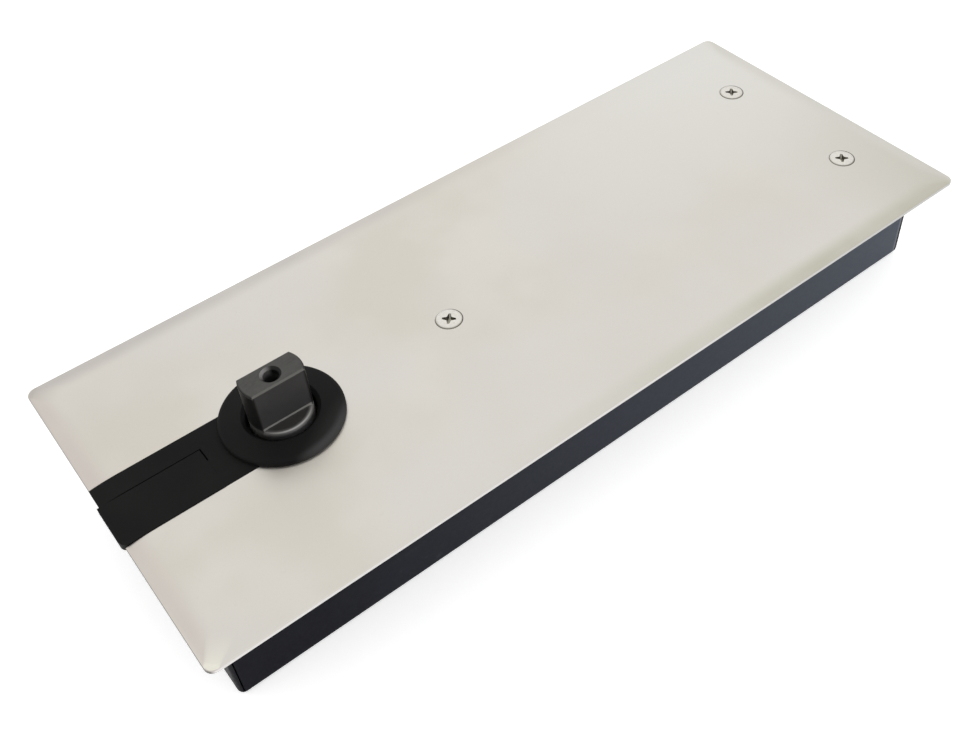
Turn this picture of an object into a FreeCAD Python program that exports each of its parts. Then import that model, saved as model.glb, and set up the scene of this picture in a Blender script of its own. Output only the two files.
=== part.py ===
"""Floor spring door closer: cover plate, cement box and a cam and roller closer.

Millimetres. The origin lies on the spindle axis, at the underside of the cement
box. +X runs from the spindle end of the cover to its far end, +Z is up.
"""

import FreeCAD, Part
import math
import os
import re

import Sketcher

# Driving dimensions: (alias, value). Everything else is worked out from these.
SIZES = (
    # Cover plate
    ("plate_length", 300.0),
    ("plate_width", 124.0),
    ("plate_thickness", 1.2),
    ("plate_corner_radius", 3.0),
    ("spindle_from_end", 58.0),
    ("rim_underside", 40.4),
    ("rim_drop", 0.6),
    ("rim_run", 9.0),
    ("slot_width", 25.2),
    ("slot_end_radius", 17.8),
    # Cover screws, M5 countersunk
    ("near_screw_from_end", 120.7),
    ("far_screw_inset", 21.0),
    ("far_screw_offset", 28.0),
    ("screw_radius", 2.5),
    ("screw_head_radius", 4.55),
    ("screw_head_edge", 0.25),
    ("screw_proud", 0.2),
    ("screw_length", 12.0),
    ("recess_arm", 2.3),
    ("recess_half_width", 0.5),
    ("recess_depth", 1.7),
    ("dimple_wall", 1.1),
    ("dimple_floor", 0.5),
    # Slot insert
    ("fit_gap", 0.1),
    ("insert_overhang", 0.8),
    ("lip_overlap", 2.0),
    ("lip_thickness", 1.2),
    ("collar_radius", 19.6),
    ("collar_hole_radius", 11.0),
    ("collar_rise", 2.0),
    ("collar_crown", 1.0),
    ("collar_edge_rounding", 1.4),
    ("collar_mouth_chamfer", 1.3),
    ("tab_rise", 0.2),
    ("tab_length", 32.0),
    ("tab_edge", 4.5),
    ("tab_corner_radius", 2.5),
    ("groove_width", 0.5),
    ("groove_depth", 1.3),
    ("groove_leg", 5.0),
    # Cement box
    ("box_near_inset", 6.9),
    ("box_far_inset", 3.6),
    ("box_sheet", 1.2),
    ("box_bend_radius", 2.4),
    ("box_corner_radius", 2.0),
    ("box_headroom", 0.3),
    ("seam_gap", 0.4),
    ("cut_margin", 1.0),
    # Spindle
    ("spindle_radius", 10.05),
    ("spindle_shoulder", 45.8),
    ("spindle_top", 61.3),
    ("shoulder_rounding", 1.4),
    ("tongue_thickness", 9.5),
    ("tongue_chamfer", 0.5),
    ("foot_journal_radius", 7.5),
    ("arm_hole_radius", 2.5),
    ("arm_hole_depth", 14.0),
    ("arm_hole_sink", 0.8),
    # Closer body
    ("body_underside", 3.0),
    ("boss_radius", 40.2),
    ("boss_top", 34.0),
    ("barrel_radius", 17.5),
    ("bracket_gap", 6.5),
    ("end_collar_half", 21.0),
    ("end_collar_rise", 16.0),
    ("end_collar_length", 20.0),
    ("bore_radius", 14.5),
    ("axis_height", 20.5),
    ("bulkhead_near", 56.0),
    ("bulkhead_far", 67.0),
    ("rod_passage_radius", 5.0),
    ("chamber_radius", 33.0),
    ("chamber_floor", 13.1),
    ("chamber_ceiling", 28.2),
    ("wall", 4.0),
    ("screw_boss_radius", 6.0),
    ("flange_underside", 5.2),
    ("flange_thickness", 4.8),
    ("front_flange_near", 44.0),
    ("front_flange_far", 30.0),
    ("front_flange_half", 46.0),
    ("flange_side_gap", 1.8),
    ("rear_flange_length", 30.0),
    ("rear_flange_half", 42.0),
    ("flange_corner", 7.0),
    ("front_bolt_along", 34.0),
    ("front_bolt_across", 37.0),
    ("front_height_along", 23.0),
    ("front_height_across", 41.0),
    ("rear_bolt_from_end", 22.0),
    ("rear_height_from_end", 8.0),
    ("rear_bolt_across", 33.0),
    # Fasteners, M6 and M4
    ("bolt_radius", 3.0),
    ("bolt_head_radius", 5.0),
    ("bolt_head_height", 6.0),
    ("bolt_socket_radius", 2.9),
    ("bolt_socket_depth", 3.0),
    ("washer_radius", 6.0),
    ("washer_thickness", 1.6),
    ("nut_width", 10.0),
    ("nut_height", 3.6),
    ("height_screw_stub", 1.0),
    ("thread_gap", 0.05),
    ("cap_screw_radius", 2.0),
    ("cap_screw_head_radius", 3.7),
    ("cap_screw_length", 14.0),
    ("cap_screw_circle", 36.0),
    # Bearing cap, seal
    ("cap_top", 38.2),
    ("cap_spigot_gap", 0.1),
    ("cap_groove_rise", 2.4),
    ("ring_cord_radius", 1.0),
    ("seal_radius", 15.0),
    ("seal_thickness", 2.0),
    # Bearings
    ("upper_bearing_foot", 29.2),
    ("upper_bearing_width", 6.6),
    ("upper_bearing_radius", 18.5),
    ("upper_roller_radius", 2.0),
    ("lower_bearing_foot", 5.2),
    ("lower_bearing_width", 7.0),
    ("lower_bearing_radius", 16.0),
    ("lower_roller_radius", 2.0),
    ("race_gap", 0.1),
    ("roller_end_gap", 0.6),
    ("cage_half_wall", 0.8),
    ("pocket_gap", 0.15),
    # Heart cam and carriage
    ("cam_rest_radius", 19.2),
    ("cam_rise", 6.0),
    ("cam_offset", 6.5),
    ("cam_thickness", 8.0),
    ("follower_radius", 6.2),
    ("follower_bore_gap", 0.1),
    ("follower_pin_radius", 3.0),
    ("follower_end_gap", 0.4),
    ("slide_plate_thickness", 2.5),
    ("slide_plate_half_width", 14.0),
    ("slide_gap", 0.5),
    ("slide_end_wall", 6.8),
    ("spindle_slot_gap", 0.3),
    ("carriage_stroke", 13.62),
    ("key_width", 5.0),
    ("key_height", 4.6),
    ("crosshead_length", 8.0),
    ("crosshead_half_width", 8.0),
    ("crosshead_gap", 7.4),
    ("crosshead_pin_radius", 1.8),
    ("crosshead_pin_across", 5.6),
    ("rod_radius", 4.0),
    ("rod_stub", 1.0),
    # Spring, piston and plug
    ("spring_outer_radius", 14.0),
    ("spring_wire_radial", 4.4),
    ("spring_wire_axial", 5.0),
    ("spring_turns", 8.0),
    ("seat_gap", 0.3),
    ("piston_from_end", 43.0),
    ("piston_length", 18.0),
    ("piston_gap", 0.1),
    ("piston_ring_width", 2.5),
    ("piston_ring_depth", 1.4),
    ("piston_nut_height", 4.0),
    ("piston_nut_width", 12.0),
    ("check_ball_radius", 1.5),
    ("check_bore_radius", 1.8),
    ("check_offset", 9.5),
    ("plug_length", 15.0),
    ("plug_thread_radius", 15.6),
    ("plug_socket_width", 10.0),
    ("plug_socket_depth", 6.0),
    # Valve block
    ("valve_block_from_end", 110.0),
    ("valve_block_length", 60.0),
    ("valve_block_reach", 33.0),
    ("valve_block_top", 34.0),
    ("valve_block_foot", 9.0),
    ("valve_across", 25.5),
    ("valve_edge", 11.0),
    ("valve_radius", 4.0),
    ("valve_length", 14.0),
    ("valve_tip", 4.0),
    ("valve_tip_radius", 1.3),
    ("valve_slot_width", 1.2),
    ("valve_slot_depth", 1.6),
    ("valve_sink", 1.0),
    ("valve_ring_cord_radius", 0.7),
    ("filler_radius", 5.0),
    ("filler_head_radius", 7.0),
    ("filler_head_height", 2.6),
    ("filler_washer_thickness", 1.0),
    ("filler_length", 8.0),
    ("filler_well", 1.0),
    ("filler_socket_width", 5.0),
    # Cover bracket
    ("bracket_sheet", 2.5),
    ("bracket_half_span", 41.0),
    ("bracket_depth", 18.0),
    ("bracket_foot", 12.0),
    ("bracket_collar_radius", 4.4),
    ("bracket_collar_length", 3.0),
)
CAP_SCREWS = 6
UPPER_ROLLERS = 10
LOWER_ROLLERS = 8
CAM_STEPS = 24
CUT_CHECK = 0.001
MATCH = 0.01

ALIASES = {alias for alias, number in SIZES}
size = dict(SIZES)

doc = FreeCAD.newDocument("floor_spring_door_closer")
sheet = doc.addObject("Spreadsheet::Sheet", "sizes")
for row, (alias, number) in enumerate(SIZES, start=1):
    sheet.set("A%d" % row, alias)
    sheet.set("B%d" % row, str(number))
    sheet.setAlias("B%d" % row, alias)
doc.recompute()

# Places that several pieces share, written as formulas over the sheet
PLATE_NEAR = "-spindle_from_end"
PLATE_FAR = "(plate_length - spindle_from_end)"
FLAT_UNDER = "(rim_underside + rim_drop)"
FLAT_TOP = "(rim_underside + rim_drop + plate_thickness)"
NEAR_SCREW = "(near_screw_from_end - spindle_from_end)"
FAR_SCREW = "(plate_length - far_screw_inset - spindle_from_end)"
CAP_GROOVE = "(chamber_ceiling + cap_groove_rise)"
SCREW_SEAT = FLAT_TOP + " + screw_proud"
SCREW_CONE = "(screw_head_radius - screw_radius)"
CAP_SCREW_CONE = "(cap_screw_head_radius - cap_screw_radius)"
DIMPLE_UNDER = "(rim_underside + rim_drop + plate_thickness - screw_head_radius + screw_radius - dimple_floor)"
BOX_NEAR = "(box_near_inset - spindle_from_end)"
BOX_FAR = "(plate_length - spindle_from_end - box_far_inset)"
BOX_HALF = "(front_flange_half + flange_side_gap + box_sheet)"
BOX_TOP = "(rim_underside + rim_drop - box_headroom)"
CAM_FOOT = "(axis_height - cam_thickness / 2)"
CAM_TOP = "(axis_height + cam_thickness / 2)"
LOWER_PLATE_FOOT = "(chamber_floor + slide_gap)"
UPPER_PLATE_TOP = "(chamber_ceiling - slide_gap)"
UPPER_PLATE_FOOT = "(chamber_ceiling - slide_gap - slide_plate_thickness)"
LOWER_PLATE_TOP = "(chamber_floor + slide_gap + slide_plate_thickness)"
FRONT_FOLLOWER = "-cam_rest_radius"
REAR_FOLLOWER = "(cam_rest_radius + pi * cam_rise)"
CROSSHEAD_NEAR = "(cam_rest_radius + pi * cam_rise + crosshead_gap)"
CARRIAGE_NEAR = "(cam_rest_radius + slide_end_wall)"
BARREL_END = "(plate_length - far_screw_inset - spindle_from_end - bracket_depth / 2 - bracket_gap)"
PISTON_NEAR = "(%s - piston_from_end)" % BARREL_END
PISTON_FAR = "(%s + piston_length)" % PISTON_NEAR
PLUG_NEAR = "(%s - plug_length)" % BARREL_END
REAR_BOLT = "(%s - rear_bolt_from_end)" % BARREL_END
REAR_HEIGHT = "(%s - rear_height_from_end)" % BARREL_END
FLANGE_TOP = "(flange_underside + flange_thickness)"
VALVE_BLOCK_NEAR = "(%s - valve_block_from_end)" % BARREL_END
VALVE_BLOCK_FAR = "(%s + valve_block_length)" % VALVE_BLOCK_NEAR
CLOSING_VALVE = "(%s + valve_edge)" % VALVE_BLOCK_NEAR
LATCHING_VALVE = "(%s - valve_edge)" % VALVE_BLOCK_FAR
FILLER = "(%s + valve_block_length / 2)" % VALVE_BLOCK_NEAR
VALVE_FOOT = "(valve_block_top - valve_sink - valve_length)"

flat_top = size["rim_underside"] + size["rim_drop"] + size["plate_thickness"]
barrel_end = (size["plate_length"] - size["far_screw_inset"] - size["spindle_from_end"]
              - size["bracket_depth"] / 2 - size["bracket_gap"])

nodes = []


def bound(formula):
    """A formula over size names, with each name pointed at its sheet cell."""
    def cell(match):
        word = match.group(0)
        return "sizes." + word if word in ALIASES else word
    return re.sub(r"[a-z][a-z_]*", cell, formula)


def keep(piece):
    nodes.append(piece)
    return piece


def new_body(label):
    body = doc.addObject("PartDesign::Body", label)
    body.Label = label
    return body


def shift(piece, along="0", across="0", up="0"):
    """Bind a piece's place to the sheet."""
    piece.setExpression("Placement.Base.x", bound(along))
    piece.setExpression("Placement.Base.y", bound(across))
    piece.setExpression("Placement.Base.z", bound(up))


def new_sketch(body, plane="XY_Plane", start="0"):
    """A sketch on one of the body's own planes, lifted along its normal by start."""
    sketch = body.newObject("Sketcher::SketchObject", body.Label + "_sketch")
    origin_plane = [item for item in body.Origin.OriginFeatures if item.Role == plane][0]
    sketch.AttachmentSupport = [(origin_plane, "")]
    sketch.MapMode = "FlatFace"
    sketch.setExpression("AttachmentOffset.Base.z", bound(start))
    return sketch


def pin_point(sketch, edge, end, across, up):
    """Hold one point of a sketch at (across, up) from its origin."""
    for kind, formula in (("DistanceX", across), ("DistanceY", up)):
        constraint = Sketcher.Constraint(kind, -1, 1, edge, end, 1.0)
        index = sketch.addConstraint(constraint)
        sketch.setExpression("Constraints[%d]" % index, bound(formula))


def draw_circle(sketch, across, up, radius):
    edge = sketch.addGeometry(Part.Circle(FreeCAD.Vector(1, 1, 0), FreeCAD.Vector(0, 0, 1), 3))
    index = sketch.addConstraint(Sketcher.Constraint("Radius", edge, 3.0))
    sketch.setExpression("Constraints[%d]" % index, bound(radius))
    pin_point(sketch, edge, 3, across, up)


def draw_outline(sketch, points):
    """A closed outline of straight edges through points held by formulas."""
    count = len(points)
    first = sketch.GeometryCount
    corners = []
    for index in range(count):
        turn = 2 * math.pi * index / count
        corners.append(FreeCAD.Vector(10 * math.cos(turn), 10 * math.sin(turn), 0))
    for index in range(count):
        sketch.addGeometry(Part.LineSegment(corners[index], corners[(index + 1) % count]))
    for index in range(count):
        following = first + (index + 1) % count
        sketch.addConstraint(Sketcher.Constraint("Coincident", first + index, 2, following, 1))
    for index, (across, up) in enumerate(points):
        pin_point(sketch, first + index, 1, across, up)


def draw(sketch, shape):
    """A shape is a circle (across, up, radius) or a list of corner points."""
    if isinstance(shape, tuple):
        draw_circle(sketch, *shape)
    else:
        draw_outline(sketch, shape)


def rectangle(left, low, right, high):
    return [(left, low), (right, low), (right, high), (left, high)]


def hexagon(width, across="0", up="0"):
    """A regular hexagon by its width over the flats."""
    points = []
    for corner in range(6):
        turn = "%d deg" % (30 + 60 * corner)
        reach = "(%s) / 2 / cos(30 deg)" % width
        points.append(("%s + %s * cos(%s)" % (across, reach, turn),
                       "%s + %s * sin(%s)" % (up, reach, turn)))
    return points


def pad(body, start, length, shapes, plane="XY_Plane"):
    sketch = new_sketch(body, plane, start)
    for shape in shapes:
        draw(sketch, shape)
    feature = body.newObject("PartDesign::Pad", body.Label + "_pad")
    feature.Profile = sketch
    feature.setExpression("Length", bound(length))
    return feature


def pocket(body, start, depth, shapes, plane="XY_Plane"):
    """Cut from start against the plane's normal."""
    sketch = new_sketch(body, plane, start)
    for shape in shapes:
        draw(sketch, shape)
    feature = body.newObject("PartDesign::Pocket", body.Label + "_pocket")
    feature.Profile = sketch
    feature.setExpression("Length", bound(depth))
    return feature


def turn(body, points, axis="V_Axis", groove=False):
    """Revolve an outline in the XZ plane about the upright or the lying axis."""
    sketch = new_sketch(body, "XZ_Plane")
    draw_outline(sketch, points)
    kind = "PartDesign::Groove" if groove else "PartDesign::Revolution"
    feature = body.newObject(kind, body.Label + "_turning")
    feature.Profile = sketch
    feature.ReferenceAxis = (sketch, [axis])
    feature.Angle = 360
    return feature


def edges_of(feature, wanted):
    """Names of the feature's edges whose middle and direction suit wanted()."""
    names = []
    for index, edge in enumerate(feature.Shape.Edges, start=1):
        middle = edge.valueAt((edge.FirstParameter + edge.LastParameter) / 2)
        if wanted(edge, middle):
            names.append("Edge%d" % index)
    return names


def upright(edge):
    line = edge.Vertexes[-1].Point - edge.Vertexes[0].Point
    return len(edge.Vertexes) == 2 and abs(line.z) > 0.999 * line.Length and line.Length > 0


def ring_edge(radius, height):
    """Picks round edges of one radius at one height."""
    def wanted(edge, middle):
        return (hasattr(edge.Curve, "Radius") and abs(edge.Curve.Radius - radius) < MATCH
                and abs(middle.z - height) < MATCH)
    return wanted


def fillet(body, feature, radius, wanted):
    doc.recompute()
    rounding = body.newObject("PartDesign::Fillet", body.Label + "_fillet")
    rounding.Base = (feature, edges_of(feature, wanted))
    rounding.setExpression("Radius", bound(radius))
    return rounding


def chamfer(body, feature, length, wanted):
    doc.recompute()
    bevel = body.newObject("PartDesign::Chamfer", body.Label + "_chamfer")
    bevel.Base = (feature, edges_of(feature, wanted))
    bevel.setExpression("Size", bound(length))
    return bevel


def copies(label, master, places):
    """Equal solids of one master piece, held in one node."""
    links = []
    for index, (along, across, up) in enumerate(places):
        link = doc.addObject("App::Link", "%s_%d" % (label, index + 1))
        link.LinkedObject = master
        shift(link, along, across, up)
        links.append(link)
    group = doc.addObject("Part::Compound", label)
    group.Label = label
    group.Links = links
    return keep(group)


def on_circle(radius, count, up="0"):
    """Places spaced evenly on a circle about the upright axis."""
    places = []
    for index in range(count):
        angle = "%g deg" % (360.0 * index / count + 180.0 / count)
        places.append(("%s * cos(%s)" % (radius, angle), "%s * sin(%s)" % (radius, angle), up))
    return places


def make_cover_plate():
    """Pressed sheet: flat top, rolled-down rim, dimpled screw holes, open slot."""
    body = new_body("cover_sheet")
    half = "plate_width / 2"
    outline = rectangle(PLATE_NEAR, "-" + half, PLATE_FAR, half)
    pad(body, "rim_underside", "plate_thickness", [outline])
    rim_steps = ((0.0, 0.0), (0.3, 0.51), (0.6, 0.84), (1.0, 1.0))
    for under, kind in ((False, "PartDesign::AdditiveLoft"), (True, "PartDesign::SubtractiveLoft")):
        foot = "rim_underside" if under else "rim_underside + plate_thickness"
        sections = []
        for run_share, drop_share in rim_steps:
            inset = "%g * rim_run" % run_share
            sketch = new_sketch(body, start="%s + %g * rim_drop" % (foot, drop_share))
            draw(sketch, rectangle(PLATE_NEAR + " + " + inset, "-%s + %s" % (half, inset),
                                   PLATE_FAR + " - " + inset, "%s - %s" % (half, inset)))
            sections.append(sketch)
        loft = body.newObject(kind, "rim_loft")
        loft.Profile = sections[0]
        loft.Sections = sections[1:]
        loft.Ruled = True
    screw_places = ((NEAR_SCREW, "0"), (FAR_SCREW, "far_screw_offset"), (FAR_SCREW, "-far_screw_offset"))
    for along, across in screw_places:
        pad(body, DIMPLE_UNDER, "%s - %s + plate_thickness / 2" % (FLAT_UNDER, DIMPLE_UNDER),
            [(along, across, "screw_head_radius + dimple_wall")])
    holes = [(along, across, "screw_radius + fit_gap") for along, across in screw_places]
    drilled = pocket(body, FLAT_TOP, "6 * plate_thickness", holes)
    chamfer(body, drilled, SCREW_CONE, ring_edge(size["screw_radius"] + size["fit_gap"], flat_top))
    slot_half = "slot_width / 2"
    pocket(body, FLAT_TOP, "3 * plate_thickness",
           [rectangle("2 * " + PLATE_NEAR, "-" + slot_half, "0", slot_half)])
    pocket(body, FLAT_TOP, "3 * plate_thickness", [("0", "0", "slot_end_radius + fit_gap")])
    blank = new_body("cover_blank")
    block = pad(blank, "rim_underside - 4 * plate_thickness", "10 * plate_thickness", [outline])
    fillet(blank, block, "plate_corner_radius", lambda edge, middle: upright(edge))
    plate = doc.addObject("Part::MultiCommon", "cover_plate")
    plate.Label = "cover_plate"
    plate.Shapes = [body, blank]
    keep(plate)


def make_cover_screws():
    """Countersunk screws with a cross recess, flush with the cover."""
    master = new_body("cover_screw_master")
    turn(master, [("0", "-screw_length"), ("screw_radius", "-screw_length"),
                  ("screw_radius", "-screw_head_edge - " + SCREW_CONE),
                  ("screw_head_radius", "-screw_head_edge"), ("screw_head_radius", "0"), ("0", "0")])
    arm, half = "recess_arm", "recess_half_width"
    cross = [(arm, "-" + half), (arm, half), (half, half), (half, arm), ("-" + half, arm),
             ("-" + half, half), ("-" + arm, half), ("-" + arm, "-" + half), ("-" + half, "-" + half),
             ("-" + half, "-" + arm), (half, "-" + arm), (half, "-" + half)]
    pocket(master, "0", "recess_depth", [cross])
    copies("cover_screws", master, ((NEAR_SCREW, "0", SCREW_SEAT),
                                    (FAR_SCREW, "far_screw_offset", SCREW_SEAT),
                                    (FAR_SCREW, "-far_screw_offset", SCREW_SEAT)))


def make_slot_insert():
    """Moulding that closes the cover's open slot and frames the spindle."""
    body = keep(new_body("slot_insert"))
    strip_half = "(slot_width / 2 - fit_gap)"
    lip_half = "(slot_width / 2 + lip_overlap)"
    near = "(-spindle_from_end - insert_overhang)"
    lip_top = "(rim_underside + rim_drop - fit_gap)"
    pad(body, "%s - lip_thickness" % lip_top, "lip_thickness",
        [rectangle("rim_run - spindle_from_end", "-" + lip_half, "-collar_hole_radius", lip_half)])
    pad(body, "%s - lip_thickness" % lip_top, "%s - %s + lip_thickness" % (FLAT_TOP, lip_top),
        [rectangle(near, "-" + strip_half, "-collar_hole_radius", strip_half)])
    roll = [("%s - rim_run" % PLATE_NEAR, FLAT_TOP + " - rim_drop")]
    for run_share, drop_left in ((0.0, 1.0), (0.3, 0.49), (0.6, 0.16), (1.0, 0.0)):
        roll.append(("%s + %g * rim_run" % (PLATE_NEAR, run_share),
                     "%s - %g * rim_drop" % (FLAT_TOP, drop_left)))
    roll += [(PLATE_NEAR + " + rim_run", FLAT_TOP + " + rim_drop"),
             (PLATE_NEAR + " - rim_run", FLAT_TOP + " + rim_drop")]
    pocket(body, "-tab_edge", "slot_width / 2 - tab_edge", [roll], plane="XZ_Plane")
    tab = pad(body, FLAT_TOP + " - rim_drop", "rim_drop + tab_rise",
              [rectangle(near, "-" + strip_half, "tab_length - spindle_from_end", "tab_edge")])
    near_end = -size["spindle_from_end"] - size["insert_overhang"]
    fillet(body, tab, "tab_corner_radius", lambda edge, middle: upright(edge) and middle.y < 0
           and abs(middle.x - near_end) < MATCH)
    pocket(body, FLAT_TOP + " + rim_drop", "2 * rim_drop + plate_thickness + 2 * lip_thickness",
           [rectangle("2 * " + near, "tab_edge", PLATE_NEAR, "2 * " + strip_half)])
    tab_end = "(tab_length - spindle_from_end)"
    groove_end = tab_end + " + groove_width"
    pocket(body, FLAT_TOP + " + rim_drop", "rim_drop + groove_depth",
           [[("2 * " + near, "tab_edge"), (tab_end, "tab_edge"), (tab_end, "tab_edge - groove_leg"),
             (groove_end, "tab_edge - groove_leg"), (groove_end, "tab_edge + groove_width"),
             ("2 * " + near, "tab_edge + groove_width")]])
    pad(body, "%s - lip_thickness" % lip_top, "%s - %s + lip_thickness" % (FLAT_TOP, lip_top),
        [("0", "0", "slot_end_radius")])
    crown = FLAT_TOP + " + collar_rise + collar_crown"
    edge_height = flat_top + size["collar_rise"]
    crown_height = edge_height + size["collar_crown"]
    collar = turn(body, [("collar_hole_radius", FLAT_TOP), ("collar_radius", FLAT_TOP),
                         ("collar_radius", FLAT_TOP + " + collar_rise"), ("collar_hole_radius", crown)])
    fillet(body, collar, "collar_edge_rounding", ring_edge(size["collar_radius"], edge_height))
    mouth = pocket(body, crown, "%s - %s + lip_thickness" % (crown, lip_top),
                   [("0", "0", "collar_hole_radius")])
    chamfer(body, mouth, "collar_mouth_chamfer", ring_edge(size["collar_hole_radius"], crown_height))


def make_cement_box():
    """Folded sheet box: the end walls cover the side walls' ends at each corner."""
    body = keep(new_body("cement_box"))
    block = pad(body, "0", BOX_TOP, [rectangle(BOX_NEAR, "-" + BOX_HALF, BOX_FAR, BOX_HALF)])
    corners = fillet(body, block, "box_corner_radius", lambda edge, middle: upright(edge))
    fillet(body, corners, "box_bend_radius", lambda edge, middle: abs(middle.z) < MATCH)
    hollow = pocket(body, BOX_TOP, BOX_TOP + " - box_sheet",
                    [rectangle(BOX_NEAR + " + box_sheet", "-%s + box_sheet" % BOX_HALF,
                               BOX_FAR + " - box_sheet", BOX_HALF + " - box_sheet")])
    fillet(body, hollow, "box_bend_radius - box_sheet",
           lambda edge, middle: abs(middle.z - size["box_sheet"]) < MATCH)
    for along in (BOX_NEAR + " + box_sheet", BOX_FAR + " - box_sheet - seam_gap"):
        pocket(body, BOX_TOP, BOX_TOP + " - box_bend_radius",
               [rectangle(along, "-1.2 * " + BOX_HALF, along + " + seam_gap", "-%s + box_sheet" % BOX_HALF),
                rectangle(along, BOX_HALF + " - box_sheet", along + " + seam_gap", "1.2 * " + BOX_HALF)])
    lip_half = "(slot_width / 2 + lip_overlap + seat_gap)"
    lip_foot = "(rim_underside + rim_drop - fit_gap - lip_thickness - seat_gap)"
    pocket(body, BOX_TOP, BOX_TOP + " - " + lip_foot,
           [rectangle(BOX_NEAR + " - cut_margin", "-" + lip_half,
                      BOX_NEAR + " + box_sheet + cut_margin", lip_half)])


def make_cover_bracket():
    """Bridge welded to the box floor that the two far cover screws enter."""
    body = keep(new_body("cover_bracket"))
    near = "(%s - bracket_depth / 2)" % FAR_SCREW
    inner = "(bracket_half_span - bracket_sheet)"
    top = DIMPLE_UNDER
    hat = [("-bracket_half_span", "box_sheet"), ("-%s + bracket_foot" % inner, "box_sheet"),
           ("-%s + bracket_foot" % inner, "box_sheet + bracket_sheet"),
           ("-" + inner, "box_sheet + bracket_sheet"), ("-" + inner, top + " - bracket_sheet"),
           (inner, top + " - bracket_sheet"), (inner, "box_sheet + bracket_sheet"),
           (inner + " - bracket_foot", "box_sheet + bracket_sheet"),
           (inner + " - bracket_foot", "box_sheet"), ("bracket_half_span", "box_sheet"),
           ("bracket_half_span", top), ("-bracket_half_span", top)]
    bridge = pad(body, near, "bracket_depth", [hat], plane="YZ_Plane")
    corner_z = size["rim_underside"]
    fillet(body, bridge, "bracket_sheet",
           lambda edge, middle: abs(abs(middle.y) - size["bracket_half_span"]) < MATCH
           and abs(middle.z - corner_z) < 2 and abs(edge.Length - size["bracket_depth"]) < MATCH)
    for across in ("far_screw_offset", "-far_screw_offset"):
        pad(body, top + " - bracket_sheet - bracket_collar_length",
            "bracket_collar_length + bracket_sheet / 2", [(FAR_SCREW, across, "bracket_collar_radius")])
        pocket(body, top + " + cut_margin", "bracket_sheet + bracket_collar_length + 2 * cut_margin",
               [(FAR_SCREW, across, "screw_radius + thread_gap")])


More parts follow.
